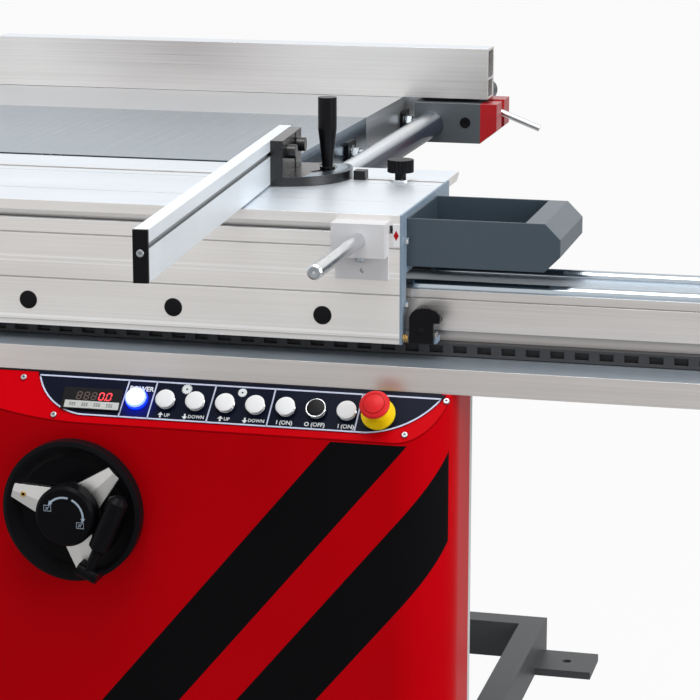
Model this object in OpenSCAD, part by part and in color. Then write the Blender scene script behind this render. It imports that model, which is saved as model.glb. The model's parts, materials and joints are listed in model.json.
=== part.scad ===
// Sliding table saw: a floor machine with a long sliding carriage, a tilting blade and a rip fence.
// X runs along the carriage towards the infeed end, Y runs away from the carriage side, Z is up.
// The origin is on the floor, in the middle of the four floor anchors.

/* [Machine] */
// Height of the table surface above the floor
table_h = 860; // [840:5:900]
// Gap between carriage and cast table, in which the blade runs
slot_w = 16; // [15:1:18]
// Width of the cabinet along the carriage
cab_w = 1386; // [1370:2:1420]
// Depth of the cabinet from front wall to back wall
cab_d = 676; // [670:2:700]
// Height of the plinth
plinth_h = 60; // [50:1:80]
// Thickness of the sheet metal
sheet = 3; // [2:0.5:4]
// Diameter of the floor anchor holes
anchor_d = 14; // [10:1:18]

/* [Carriage] */
// Length of the sliding carriage
carriage_l = 3200; // [3000:10:3400]
// Width of the sliding carriage
carriage_w = 386; // [380:1:390]
// Place of the carriage's infeed end along the rail
carriage_end = 608; // [570:1:650]
// Height of the front skirt
skirt_h = 175; // [172:0.5:176]
// Thickness of the front skirt
skirt_t = 26; // [24:0.5:30]
// Thickness of the deck
deck_t = 28; // [26:0.5:30]
// Width of the T-slot's mouth
slot_mouth = 14; // [12:0.5:16]
// Width of the T-slot's inner part
slot_inner = 26; // [24:0.5:30]
// Diameter of the round plugs in the skirt
plug_d = 22; // [16:1:26]
// Distance from one plug to the next
plug_pitch = 210; // [180:5:260]
// Length of the tool tray
tray_l = 207; // [180:1:230]
// Width of the tool tray
tray_w = 187; // [150:1:200]
// Height of the tool tray
tray_h = 65; // [55:1:68]
// Length of the push handle's rod
handle_l = 221; // [150:1:260]
// Diameter of the push handle's rod
handle_d = 20; // [16:1:24]

/* [Rail] */
// Length of the guide rail
rail_l = 3000; // [2800:10:3200]
// Diameter of the hardened guide rods
rod_d = 20; // [18:0.5:22]
// Distance between the two guide rods
rod_gap = 114; // [110:1:118]
// Distance from one notch of the locking strip to the next
notch_pitch = 33; // [26:1:45]
// Diameter of the rollers in the roller cage
roller_d = 13.4; // [13:0.1:13.4]

/* [Tables] */
// Length of the cast table
table_l = 1000; // [960:10:1040]
// Depth of the cast table
table_d = 518; // [500:2:540]
// Depth of the right extension table
side_table_d = 730; // [600:10:800]
// Length of the outfeed extension table
out_table_l = 500; // [400:10:700]
// Diameter of the rip fence's round bar
bar_d = 45; // [40:1:48]
// Length of the rip fence's round bar
bar_l = 1280; // [1150:10:1320]
// Length of the rip fence
fence_l = 930; // [800:10:980]
// Height of the rip fence
fence_h = 90; // [70:1:110]

/* [Front cover] */
// How far the cover stands out from the cabinet
cover_d = 146.3; // [136:0.1:156]
// Radius of the cover's corner
corner_r = 74; // [50:1:80]
// Radius of the cover's bowed side
bow_r = 860; // [800:5:900]
// Depth of the sloped control panel
panel_run = 48.3; // [44:0.1:52]
// Height of the sloped control panel
panel_drop = 57.5; // [52:0.1:62]
// Distance from one control to the next
key_pitch = 42; // [38:0.5:46]
// Diameter of the push buttons
key_d = 25; // [22:0.5:28]
// Diameter of the emergency stop button
stop_d = 41; // [34:1:44]
// Diameter of the handwheel
wheel_d = 196; // [180:1:210]
// Diameter of the handwheel's hub cap
hub_d = 84; // [74:1:88]

/* [Saw unit] */
// Diameter of the saw blade
blade_d = 400; // [350:5:400]
// Thickness of the saw blade's body
blade_t = 3; // [2.4:0.1:3.2]
// Number of teeth on the saw blade
blade_teeth = 48; // [24:4:60]
// Diameter of the scoring blade
score_d = 120; // [100:1:125]
// Height of the blade above the table in the rest pose
blade_up = 55; // [20:1:55]
// Diameter of the arbor
arbor_d = 30; // [25:1:35]
// Diameter of the drive motor
motor_d = 180; // [150:2:184]

/* [Mitre gauge] */
// Length of the mitre fence
mitre_l = 868; // [700:2:900]
// Height of the mitre fence
mitre_h = 62; // [54:1:75]
// Thickness of the mitre fence
mitre_t = 18; // [16:0.5:24]
// Angle of the mitre fence in the rest pose
mitre_rest = 4.6; // [-10:0.1:10]
// Radius of the mitre gauge's base plate
mitre_r = 95; // [88:1:98]

/* [Hidden] */
$fn = 64;
// Overrun of every cut past the face it opens
over = 1;
// Clearance between pieces that move past each other
gap = 0.3;
// Radial running fit of a shaft in its bore
fit = 0.05;
// Half an extent that covers the whole machine, for half spaces
far = 6000;

// Reference planes
blade_y = -6;
carriage_y1 = blade_y - slot_w / 2;
carriage_y0 = carriage_y1 - carriage_w;
table_y0 = blade_y + slot_w / 2;
cab_x = cab_w / 2;
cab_y = cab_d / 2;
function below(depth) = table_h - depth;
function behind(u) = carriage_y0 + u;
function past(x) = carriage_end + x;

// Base and cabinet
plinth_t = 40;
foot_w = 90;
foot_t = 12;
anchor_y = 270;
anchor_x = cab_x + foot_w / 2;
cast_t = 60;
cab_top = table_h - cast_t;
seat_depth = 230;
seat_z = below(seat_depth);
rail_back_gap = 18;
bay_depth = 160;
bay_top = below(bay_depth);
bay_x1 = 545;
wing_flange = 15;
door_x = [350, 520];
door_z = [150, 550];
door_lap = 12;
door_knob_d = 32;
door_knob_h = 14;
hinge_d = 12;
hinge_h = 50;
port_d = 120;
port_l = 60;
port_x = -300;
port_z = 250;
port_wall = 3;
port_flange = 24;

// Carriage section, across from the front face and down from the deck
wing_u = 302;
wing_t = 12;
lip_t = 4;
leg_w = 28;
leg_depth = 82;
rod_u = 58;
slot_u = 282;
slot_mouth_h = 10;
slot_inner_h = 10;
side_mouth = [14, 25];
side_inner = [9, 30];
side_mouth_t = 8;
side_inner_t = 9;
skirt_seams = [46, 109];
deck_seams = [98, 248];
seam_w = 2;
seam_t = 1;
lip_depth = 167;
lip_step = 1.5;
chamber_u = [34, 104, 110, 178, 184, 250];
chamber_depth = [5, 23];
plug_first = 106;
plug_depth = 140;
plug_t = 6;
plug_crown = 1.2;
plate_t = 3;
tray_u = 28;
tray_drop = 8;
tray_bevel = 21;
tray_sheet = 2;
tray_lip = 26;
screw_d = 10;
screw_h = 6;
screw_u = 16;
screw_depths = [37, 123];
flag_x = [-9, 0];
flag_depth = [12, 42];
flag_t = 2;

// Latch at the carriage's end
latch_x = 28;
latch_depth = 156;
latch_u = [5, 35];
latch_ear = 6;
latch_cheek_t = 6;
latch_pin_d = 6;
latch_base_x = [0, 45];
latch_base_depth = [166, 174];
latch_hub_d = 18;
latch_head_d = 30;
latch_head = [-1, 15];
latch_boot = [[-14, 2], [12, 2], [12, 11], [25, 11], [25, 15], [20, 21], [10, 27], [0, 30], [-14, 15]];
latch_face = [[-16, -17], [17, -17], [17, 10], [26, 15], [26, 22], [20, 28], [10, 31.5], [0, 31.5], [-10, 27],
  [-16, 18]];

// Push handle
clamp_x = [-87, -14];
clamp_t = 30;
clamp_depth = [8, 54];
clamp_plate_depth = 87;
clamp_plate_t = 6;
clamp_hole_d = 6.5;
clamp_hole_depth = 75;
handle_x = -50;
handle_depth = 30;
handle_root = 20;
handle_nose = 3;

// Guide rail section
beam_u = [40, 186];
beam_depth = [106, 161];
beam_seam = 119;
web_u = [52, 150];
ledge_u = [-36, 150];
ledge_depth = 196;
ledge_chamber_wall = 6;
beam_chamber_wall = 14;
strip_u = [36, 52];
strip_depth = [177, 195];
notch_w = 19;
notch_h = 10;
notch_t = 9;
rail_x1 = 1241;
rail_x0 = rail_x1 - rail_l;
bracket_x = 600;
bracket_w = 40;
bracket_t = 12;
bracket_h = 70;
cage_l = 1000;
cage_x = -575;
cage_t = 5;
cage_w = 26;
cage_tie = 24;
roller_n = 9;
roller_l = 18;

// Tables
table_x1 = 338;
table_x0 = table_x1 - table_l;
table_plate = 16;
table_wall = 14;
table_rib_y = [cab_y - table_wall, cab_y];
joint_gap = 1;
side_y0 = table_y0 + table_d + joint_gap;
side_y1 = side_y0 + side_table_d;
extension_h = 60;
extension_plate = 4;
extension_wall = 4;
strut_x = [10, -510];
strut_w = 30;
strut_foot = 300;
strut_inset = 160;
bar_x = 393;
bar_depth = 45;
bar_y0 = 20;
stud_d = 16;
stud_y = [120, 400, 800, 1150];

// Rip fence
carrier_x = [363, 483];
carrier_y = [780, 900];
carrier_depth = 77;
carrier_shelf = 6;
carrier_top = 56;
carrier_cap = 30;
carrier_bevel = 24;
carrier_arm_y = 850;
carrier_reach = 123;
arm_lift = 2;
tongue_t = 8;
tongue_h = 12;
tongue_up = 20;
stud_room = 2;
fence_t = 54;
fence_out = 800;
fence_lift = 0.5;
fence_wall = 4;
lever_x = 496;
lever_pin_d = 10;
lever_rod_d = 12;
lever_l = 90;
lever_fall = 21;
lever_depth = 22;
lever_boss_d = 26;
lever_boss_l = 27;
lever_slot = 28;

// Front cover
cover_y0 = -cab_y - cover_d;
cover_x1 = cab_x;
cover_z0 = 90;
bow_x = 188;
bow_facets = 720;
bow_x0 = bow_x - sqrt(bow_r * bow_r - (bow_r - cover_d) * (bow_r - cover_d));
panel_y = cover_y0 + panel_run;
panel_tilt = atan2(panel_drop, panel_run);
label_rows = [7, 64.5];
label_arc_x = [190, 570];
label_arc_r = [82, 128];
label_dip = 0.4;
label_t = 1.5;
key_row = 36;
key_first = 258;
key_hole_d = 22;
key_stem_d = 14;
key_stem_l = 16;
key_proud = 10;
key_cap_t = 5;
collar_wall = 2;
collar_h = 5;
keys = ["scorer_up_button", "scorer_down_button", "blade_up_button", "blade_down_button",
  "start_button", "stop_button", "scorer_start_button"];
stop_x = key_first + (len(keys) + 1) * key_pitch;
stop_disc_d = 46;
stop_disc_t = 3;
stop_neck_d = 26;
stop_neck_h = 16;
stop_stem_d = 16;
stop_gap = 5;
stop_head_h = 15;
stop_rim = 6;
readout_x = 195.5;
readout_w = 84;
readout_h = 32;
readout_t = 3;
readout_row = 41;

// Handwheel, forward distances count from the cover's front face
wheel_x = 180.5;
wheel_below_seat = 174;
wheel_z = seat_z - wheel_below_seat;
shaft_d = 20;
shaft_back = 156;
dish_back = 8;
dish_deep = 14;
rim_back = 10;
rim_front = 36;
rim_t = 12;
spoke_back = 24;
spoke_front = 36;
spoke_fall = 5;
spoke_root_w = 60;
spoke_tip_w = 20;
spoke_angles = [43, 163, 283];
spoke_hole_d = 8;
hub_front = 60;
hub_bevel = 4;
crank_angle = 290;
crank_pin_d = 8;
crank_pin_r = 84;
crank_boss_d = 18;
crank_boss_l = 20;
crank_arm_l = 34;
crank_arm_w = 14;
crank_turn = -44;
crank_grip_l = 86;
crank_grip_d = 28;
crank_fwd = 52;
ear_t = 5;

// Saw unit, with its tilt axis in the blade plane at table height; heights count from the table
blade_x = -295;
blade_z = table_h + blade_up - blade_d / 2;
tooth_h = 9;
tooth_w = 4.2;
tooth_l = 12;
flange_d = 90;
flange_t = 8;
nut_d = 34;
nut_t = 18;
housing_d = 80;
housing_y = [14, 112];
pulley_d = 84;
pulley_y = [118, 144];
pulley_groove = 2;
pulley_grooves = 4;
belt_t = 4;
motor_drop = 185;
motor_y = [176, 310];
motor_shaft_d = 24;
motor_seat = 20;
motor_fin_t = 4;
motor_fin_h = 5;
motor_fins = 24;
motor_cowl_l = 30;
motor_box = [60, 60, 24];
score_x = -29;
score_up = 2;
score_z = table_h + score_up - score_d / 2;
score_t = 3.2;
score_arbor_d = 22;
score_housing_d = 48;
score_housing_y = 14;
score_teeth = 24;
cradle_x = [-590, 90];
cradle_y = [150, 166];
cradle_z = [-512, -60];
cradle_window_x = 134;
cradle_window_z = [-490, -90];
trunnion_w = 22;
trunnion_r = [208, 232];
shoe_angles = [18, 66];
track_angles = [-30, 69];
trunnion_rim = 16;
trunnion_cap = 14;
shoe_t = 14;
guide_d = 28;
guide_x = 96;
guide_y = 82;
guide_ear_w = 40;
guide_ear_z = -120;
guide_ear_h = [20, 22];
slide_y = [60, 104];
slide_half = 125;
slide_z = [-155, -65];
slide_web = 55;
post_d = 24;
post_x = 110;
post_z = -110;
motor_plate_y = [164, 176];
motor_plate_z = [-280, -85];
arm_x = [-249, -125];
arm_z = [-155, -115];
arm_foot_x = [-249, -211];
arm_foot_z = [-155, -95];
knife_t = 2.6;
knife_r = [206, 252];
knife_angles = [122, 206];
knife_tab_x = [-163, -117];
knife_tab_z = [175, 251];
guard_x = [-166, 140];
guard_w = 32;
guard_wall = 2.5;
guard_room = 2;
guard_z = [66, 132];
guard_nose = 40;
guard_pin_d = 8;
guard_pin_x = -140;
guard_pin_z = 92;

// Mitre gauge, with its pivot on the T-slot's centre line
mitre_from_end = 219;
mitre_x = past(-mitre_from_end);
mitre_y = behind(slot_u);
mitre_plate_t = 13;
mitre_shift = -13;
mitre_lift = 0.4;
mitre_back = -19;
mitre_flange_t = 18;
mitre_plate_y = [-95, 47.5];
mitre_far = 68;
mitre_pin_d = 12;
stud_r = 47;
mitre_stud_d = 8;
arc_w = 9;
arc_half = 51;
mitre_foot = 3;
groove_z = [42.5, 49.5];
groove_t = 5;
cap_t = 5;
bolt_y = [-64, 8];
bolt_z = 46;
bolt_d = 6;
bolt_head_d = 20;
bolt_head_l = 14;
shoe_x = [-46, 105];
pointer_x = [88, 105];
pointer_w = 20;
pointer_h = 13;
grip_washer_d = 22;
grip_washer_t = 3;
grip_h = 100;
grip_foot_d = 15;
grip_top_d = 27;
grip_belly_share = 0.55;

// Clamp knob in the T-slot
knob_from_end = 64;
knob_x = past(-knob_from_end);
knob_d = 38;
knob_h = 18;
knob_ribs = 20;
knob_rib_d = 4;
knob_collar_d = 16;
knob_collar_h = 10;
knob_washer_d = 30;
knob_washer_t = 2;
knob_bolt_d = 10;

// Shapes that repeat

// Box between two corners, given as ranges
module slab(x, y, z) {
  translate([x[0], y[0], z[0]])
    cube([x[1] - x[0], y[1] - y[0], z[1] - z[0]]);
}

// Flat rectangle, given as ranges
module pane(u, v) {
  translate([u[0], v[0]])
    square([u[1] - u[0], v[1] - v[0]]);
}

// Round bars along the three axes
module rod_x(x, y, z, d) {
  translate([x[0], y, z])
    rotate([0, 90, 0])
      cylinder(d = d, h = x[1] - x[0]);
}

module rod_y(x, y, z, d) {
  translate([x, y[0], z])
    rotate([-90, 0, 0])
      cylinder(d = d, h = y[1] - y[0]);
}

module rod_z(x, y, z, d) {
  translate([x, y, z[0]])
    cylinder(d = d, h = z[1] - z[0]);
}

// Flat outline in Y and Z, run along X
module run_x(x) {
  translate([x[0], 0, 0])
    rotate([90, 0, 90])
      linear_extrude(x[1] - x[0])
        children();
}

// Flat outline in X and Z, run along Y
module run_y(y) {
  translate([0, y[1], 0])
    rotate([90, 0, 0])
      linear_extrude(y[1] - y[0])
        children();
}

// Base and cabinet

module anchor_foot(side_x, side_y) {
  x = side_x > 0 ? [cab_x - plinth_t, cab_x + foot_w] : [-cab_x - foot_w, plinth_t - cab_x];
  y = side_y * anchor_y;
  difference() {
    slab(x, [y - foot_w / 2, y + foot_w / 2], [0, foot_t]);
    rod_z(side_x * anchor_x, y, [-over, foot_t + over], anchor_d);
  }
}

module base_frame() {
  color("dimgray") {
    difference() {
      slab([-cab_x, cab_x], [-cab_y, cab_y], [0, plinth_h]);
      slab([plinth_t - cab_x, cab_x - plinth_t], [plinth_t - cab_y, cab_y - plinth_t],
        [-over, plinth_h + over]);
    }
    for (side_x = [-1, 1], side_y = [-1, 1])
      anchor_foot(side_x, side_y);
  }
}

// Outline of an upright wall across the cabinet, stepped down in front for the rail
module cabinet_side(top) {
  step = behind(beam_u[1]) + rail_back_gap;
  polygon([[-cab_y, plinth_h], [cab_y, plinth_h], [cab_y, top], [step, top], [step, seat_z],
    [-cab_y, seat_z]]);
}

module cabinet_walls() {
  step = behind(beam_u[1]) + rail_back_gap;
  bulkhead = [table_x1 - table_wall, table_x1 - table_wall + sheet];
  run_x([-cab_x, sheet - cab_x])
    cabinet_side(cab_top);
  run_x(bulkhead)
    cabinet_side(cab_top);
  run_x([bay_x1 - sheet, bay_x1])
    cabinet_side(bay_top);
  slab([-cab_x, bulkhead[1]], [cab_y - sheet, cab_y], [plinth_h, cab_top]);
  slab([bulkhead[1], bay_x1], [cab_y - sheet, cab_y], [plinth_h, bay_top]);
  slab([-cab_x, cab_x], [-cab_y, sheet - cab_y], [plinth_h, seat_z]);
  slab([cab_x - sheet, cab_x], [-cab_y, wing_flange - cab_y], [plinth_h, seat_z]);
  slab([-cab_x, bay_x1], [-cab_y, cab_y], [plinth_h, plinth_h + sheet]);
  slab([bulkhead[0], bay_x1], [step, cab_y], [bay_top - sheet, bay_top]);
  slab([bulkhead[0], bay_x1], [step, step + sheet], [seat_z, bay_top]);
}

module cabinet() {
  color("gainsboro")
    difference() {
      cabinet_walls();
      rod_y(wheel_x, [-cab_y - over, sheet - cab_y + over], wheel_z, shaft_d + 2 * fit);
      rod_y(port_x, [cab_y - sheet - over, cab_y + over], port_z, port_d - 2 * port_wall);
      slab(door_x, [cab_y - sheet - over, cab_y + over], door_z);
    }
}

module service_door() {
  face = [cab_y + gap, cab_y + gap + sheet];
  color("gainsboro")
    difference() {
      union() {
        slab([door_x[0] - door_lap, door_x[1] + door_lap], face,
          [door_z[0] - door_lap, door_z[1] + door_lap]);
        rod_y(door_x[0] + door_lap + door_knob_d, [face[0], face[1] + door_knob_h],
          (door_z[0] + door_z[1]) / 2, door_knob_d);
        for (z = door_z)
          rod_z(door_x[1] + door_lap, face[0] + hinge_d / 2, [z - hinge_h / 2, z + hinge_h / 2], hinge_d);
      }
      slab([door_x[0] + door_lap, door_x[0] + door_lap + 2 * door_knob_d],
        [face[1] + door_knob_h / 2, face[1] + door_knob_h + over],
        [(door_z[0] + door_z[1] - sheet) / 2, (door_z[0] + door_z[1] + sheet) / 2]);
    }
}

module dust_port() {
  color("dimgray")
    difference() {
      union() {
        rod_y(port_x, [cab_y, cab_y + port_l], port_z, port_d);
        rod_y(port_x, [cab_y, cab_y + port_wall], port_z, port_d + 2 * port_flange);
      }
      rod_y(port_x, [cab_y - over, cab_y + port_l + over], port_z, port_d - 2 * port_wall);
    }
}

// Front cover and controls

// Plan of the cover, with its walls set in by t
module cover_plan(t) {
  flat_x1 = cover_x1 - corner_r;
  pane([bow_x, flat_x1], [cover_y0 + t, -cab_y]);
  pane([flat_x1, cover_x1 - t], [cover_y0 + corner_r, -cab_y]);
  intersection() {
    translate([flat_x1, cover_y0 + corner_r])
      circle(r = corner_r - t);
    pane([flat_x1, cover_x1], [cover_y0, cover_y0 + corner_r]);
  }
  intersection() {
    translate([bow_x, cover_y0 + bow_r])
      circle(r = bow_r - t, $fn = bow_facets);
    pane([bow_x0 - over, bow_x], [cover_y0, -cab_y]);
  }
}

// Puts its children on the sloped panel, with the panel's top edge on the X axis
module on_panel() {
  translate([0, panel_y, seat_z])
    rotate([panel_tilt, 0, 0])
      children();
}

module cover_block(t, z0) {
  difference() {
    translate([0, 0, z0])
      linear_extrude(seat_z - t - z0)
        cover_plan(t);
    on_panel()
      translate([-far, -far, -t])
        cube([2 * far, 2 * far, far]);
  }
}

function key_x(i) = key_first + (i + 1) * key_pitch;

module key_holes(z) {
  on_panel()
    for (i = [-1 : len(keys)])
      rod_z(key_x(i), -key_row, z, key_hole_d);
}

module front_cover() {
  color("firebrick")
    difference() {
      cover_block(0, cover_z0);
      difference() {
        cover_block(sheet, cover_z0 - over);
        slab([-far, far], [-cab_y - sheet, far], [seat_z - panel_drop, far]);
      }
      rod_y(wheel_x, [cover_y0 - over, cover_y0 + sheet + over], wheel_z, shaft_d + 2 * fit);
      key_holes([-2 * sheet, over]);
    }
}

// Label with an arc at each end
module label_plan() {
  rows = [-label_rows[1], -label_rows[0]];
  intersection() {
    union() {
      pane(label_arc_x, rows);
      for (i = [0, 1])
        translate([label_arc_x[i], label_arc_r[i] - label_rows[1] - label_dip])
          circle(r = label_arc_r[i]);
    }
    pane([-far, far], rows);
  }
}

module control_panel() {
  color("midnightblue")
    difference() {
      on_panel()
        linear_extrude(label_t)
          label_plan();
      key_holes([-over, label_t + over]);
    }
}

module readout() {
  color("black")
    on_panel()
      slab([readout_x - readout_w / 2, readout_x + readout_w / 2],
        [-readout_row - readout_h / 2, -readout_row + readout_h / 2], [label_t, label_t + readout_t]);
}

module key_collar(x) {
  translate([x, -key_row, label_t])
    difference() {
      cylinder(d = key_d + 2 * collar_wall, h = collar_h);
      translate([0, 0, -over])
        cylinder(d = key_d + 2 * fit, h = collar_h + 2 * over);
    }
}

module button_collars() {
  color("silver")
    on_panel()
      for (i = [-1 : len(keys) - 1])
        key_collar(key_x(i));
}

module stop_collar() {
  color("gold")
    on_panel()
      translate([stop_x, -key_row, label_t])
        difference() {
          union() {
            cylinder(d = stop_disc_d, h = stop_disc_t);
            cylinder(d = stop_neck_d, h = stop_neck_h);
          }
          translate([0, 0, -over])
            cylinder(d = stop_stem_d + 2 * fit, h = stop_neck_h + 2 * over);
        }
}

// Cap with a stem behind it, as on the lamp and the push buttons
module key_body(x) {
  on_panel()
    translate([x, -key_row, label_t]) {
      translate([0, 0, key_proud - key_cap_t])
        cylinder(d = key_d, h = key_cap_t);
      translate([0, 0, -key_stem_l])
        cylinder(d = key_stem_d, h = key_stem_l + key_proud - key_cap_t);
    }
}

module power_lamp() {
  color("aliceblue")
    key_body(key_x(-1));
}

module push_button(i) {
  color(keys[i] == "stop_button" ? "black" : "whitesmoke")
    key_body(key_x(i));
}

module emergency_stop() {
  color("red")
    on_panel()
      translate([stop_x, -key_row, label_t]) {
        translate([0, 0, -key_stem_l])
          cylinder(d = stop_stem_d, h = key_stem_l + stop_neck_h + stop_gap);
        translate([0, 0, stop_neck_h + stop_gap])
          rotate_extrude()
            intersection() {
              pane([0, stop_d / 2], [0, stop_head_h]);
              union() {
                pane([0, stop_d / 2], [0, stop_rim]);
                translate([0, stop_head_h - stop_d])
                  circle(r = stop_d);
              }
            }
      }
}

// Tables

module main_table() {
  x = [table_x0, table_x1];
  y = [table_y0, table_y0 + table_d];
  color("darkgray")
    difference() {
      slab(x, y, [cab_top, table_h]);
      slab([x[0] + table_wall, x[1] - table_wall], [y[0] - over, table_rib_y[0]],
        [cab_top - over, table_h - table_plate]);
      slab([x[0] + table_wall, x[1] - table_wall], [table_rib_y[1], y[1] - table_wall],
        [cab_top - over, table_h - table_plate]);
    }
}

module folded_table(x, y) {
  difference() {
    slab(x, y, [table_h - extension_h, table_h]);
    slab([x[0] + extension_wall, x[1] - extension_wall], [y[0] + extension_wall, y[1] - extension_wall],
      [table_h - extension_h - over, table_h - extension_plate]);
  }
}

module extension_tables() {
  color("silver") {
    folded_table([table_x0, table_x1], [side_y0, side_y1]);
    folded_table([table_x0 - joint_gap - out_table_l, table_x0 - joint_gap],
      [table_y0, table_y0 + table_d]);
    slab([-cab_x, extension_wall - cab_x], [table_y0, table_y0 + table_d], [cab_top, table_h]);
  }
  color("dimgray")
    for (x = strut_x)
      run_x([x - strut_w / 2, x + strut_w / 2])
        polygon([[cab_y, strut_foot], [cab_y, strut_foot + strut_w],
          [side_y1 - strut_inset - strut_w, table_h - extension_plate],
          [side_y1 - strut_inset, table_h - extension_plate]]);
}

module fence_bar() {
  color("silver") {
    rod_y(bar_x, [bar_y0, bar_y0 + bar_l], below(bar_depth), bar_d);
    for (y = stud_y)
      rod_x([table_x1, bar_x], y, below(bar_depth), stud_d);
  }
}

// Guide rail

module rail_section() {
  difference() {
    union() {
      pane([behind(beam_u[0]), behind(beam_u[1])], [below(beam_depth[1]), below(beam_depth[0])]);
      pane([behind(web_u[0]), behind(web_u[1])], [below(ledge_depth), below(beam_depth[1])]);
      pane([behind(ledge_u[0]), behind(ledge_u[1])], [seat_z, below(ledge_depth)]);
    }
    for (u = [rod_u, rod_u + rod_gap])
      translate([behind(u), below(beam_depth[0])])
        circle(d = rod_d);
    pane([behind(beam_u[0]) - over, behind(beam_u[0]) + seam_t],
      [below(beam_seam), below(beam_seam) + seam_w]);
    pane([behind(web_u[0]) + beam_chamber_wall, behind(web_u[1]) - beam_chamber_wall],
      [below(ledge_depth), below(beam_depth[0]) - rod_d]);
    pane([behind(ledge_u[0]) + ledge_chamber_wall, behind(web_u[0])],
      [seat_z + ledge_chamber_wall, below(ledge_depth) - ledge_chamber_wall]);
  }
}

module rail_beam() {
  color("silver")
    run_x([rail_x0, rail_x1])
      rail_section();
}

module guide_rods() {
  color("gainsboro")
    for (u = [rod_u, rod_u + rod_gap])
      rod_x([rail_x0, rail_x1], behind(u), below(beam_depth[0]), rod_d);
}

module lock_strip() {
  notches = floor((rail_l - notch_pitch) / notch_pitch);
  notch_z = below((strip_depth[0] + strip_depth[1]) / 2);
  color("black")
    difference() {
      slab([rail_x0, rail_x1], [behind(strip_u[0]), behind(strip_u[1])],
        [below(strip_depth[1]), below(strip_depth[0])]);
      for (i = [1 : notches])
        slab([rail_x0 + i * notch_pitch - notch_w / 2, rail_x0 + i * notch_pitch + notch_w / 2],
          [behind(strip_u[0]) - over, behind(strip_u[0]) + notch_t],
            [notch_z - notch_h / 2, notch_z + notch_h / 2]);
    }
}

module rail_brackets() {
  y = [sheet - cab_y, behind(ledge_u[1])];
  color("dimgray")
    for (x = [-bracket_x, bracket_x])
      run_x([x - bracket_w / 2, x + bracket_w / 2])
        polygon([[y[0], seat_z - bracket_h], [y[0] + bracket_t, seat_z - bracket_h],
          [y[1], seat_z - bracket_t],
          [y[1], seat_z], [y[0], seat_z]]);
}

module roller_cage() {
  z = below((leg_depth + beam_depth[0] - rod_d / 2) / 2);
  x = [cage_x - cage_l / 2, cage_x + cage_l / 2];
  step = cage_l / roller_n;
  color("goldenrod") {
    difference() {
      union() {
        for (u = [rod_u, rod_u + rod_gap])
          slab(x, [behind(u) - cage_w / 2, behind(u) + cage_w / 2], [z - cage_t / 2, z + cage_t / 2]);
        for (end_x = [x[0], x[1] - cage_tie])
          slab([end_x, end_x + cage_tie], [behind(rod_u), behind(rod_u + rod_gap)],
            [z - cage_t / 2, z + cage_t / 2]);
      }
      for (u = [rod_u, rod_u + rod_gap], i = [0 : roller_n - 1])
        translate([x[0] + (i + 1 / 2) * step, behind(u), z])
          cube([roller_d + 2 * gap, roller_l + 2 * gap, 2 * cage_t], center = true);
    }
    for (u = [rod_u, rod_u + rod_gap], i = [0 : roller_n - 1])
      rod_y(x[0] + (i + 1 / 2) * step, [behind(u) - roller_l / 2, behind(u) + roller_l / 2], z, roller_d);
  }
}

// Carriage

module carriage_section() {
  y = [carriage_y0, carriage_y1];
  slot_y = behind(slot_u);
  difference() {
    union() {
      pane([y[0], y[0] + skirt_t], [below(skirt_h), table_h]);
      pane([y[0], behind(wing_u)], [below(deck_t), table_h]);
      pane([behind(wing_u), y[1]], [below(wing_t), table_h]);
      for (u = [rod_u, rod_u + rod_gap])
        pane([behind(u) - leg_w / 2, behind(u) + leg_w / 2], [below(leg_depth), below(deck_t)]);
    }
    polygon([[y[1] + over, below(lip_t)], [y[1], below(lip_t)],
      [y[1] - 2 * (wing_t - lip_t), below(wing_t)],
      [y[1] - 2 * (wing_t - lip_t), below(wing_t) - over], [y[1] + over, below(wing_t) - over]]);
    pane([slot_y - slot_mouth / 2, slot_y + slot_mouth / 2], [below(slot_mouth_h), table_h + over]);
    pane([slot_y - slot_inner / 2, slot_y + slot_inner / 2],
      [below(slot_mouth_h + slot_inner_h), below(slot_mouth_h)]);
    pane([y[0] - over, y[0] + side_mouth_t], [below(side_mouth[1]), below(side_mouth[0])]);
    pane([y[0] + side_mouth_t, y[0] + side_mouth_t + side_inner_t],
      [below(side_inner[1]), below(side_inner[0])]);
    pane([y[0] - over, y[0] + lip_step], [below(skirt_h) - over, below(lip_depth)]);
    for (d = skirt_seams)
      pane([y[0] - over, y[0] + seam_t], [below(d), below(d) + seam_w]);
    for (u = deck_seams)
      pane([behind(u), behind(u) + seam_w], [table_h - seam_t, table_h + over]);
    for (i = [0 : 2 : len(chamber_u) - 1])
      pane([behind(chamber_u[i]), behind(chamber_u[i + 1])],
        [below(chamber_depth[1]), below(chamber_depth[0])]);
  }
}

function plug_count() = floor((carriage_l - 2 * plug_first) / plug_pitch) + 1;
function plug_x(i) = carriage_end - plug_first - i * plug_pitch;

module carriage() {
  color("lightgray")
    difference() {
      run_x([carriage_end - carriage_l, carriage_end])
        carriage_section();
      for (i = [0 : plug_count() - 1])
        rod_y(plug_x(i), [carriage_y0 - over, carriage_y0 + plug_t], below(plug_depth), plug_d);
    }
}

module carriage_plugs() {
  color("black")
    for (i = [0 : plug_count() - 1]) {
      rod_y(plug_x(i), [carriage_y0, carriage_y0 + plug_t], below(plug_depth), plug_d);
      translate([plug_x(i), carriage_y0, below(plug_depth)])
        rotate([90, 0, 0])
          cylinder(d1 = plug_d, d2 = plug_d - 2 * plug_crown, h = plug_crown);
    }
}

module end_outline() {
  pane([carriage_y0, carriage_y0 + skirt_t], [below(skirt_h), table_h]);
  pane([carriage_y0, behind(wing_u)], [below(deck_t), table_h]);
  pane([carriage_y0, behind(rod_u + rod_gap) + leg_w / 2], [below(leg_depth), table_h]);
}

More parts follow.
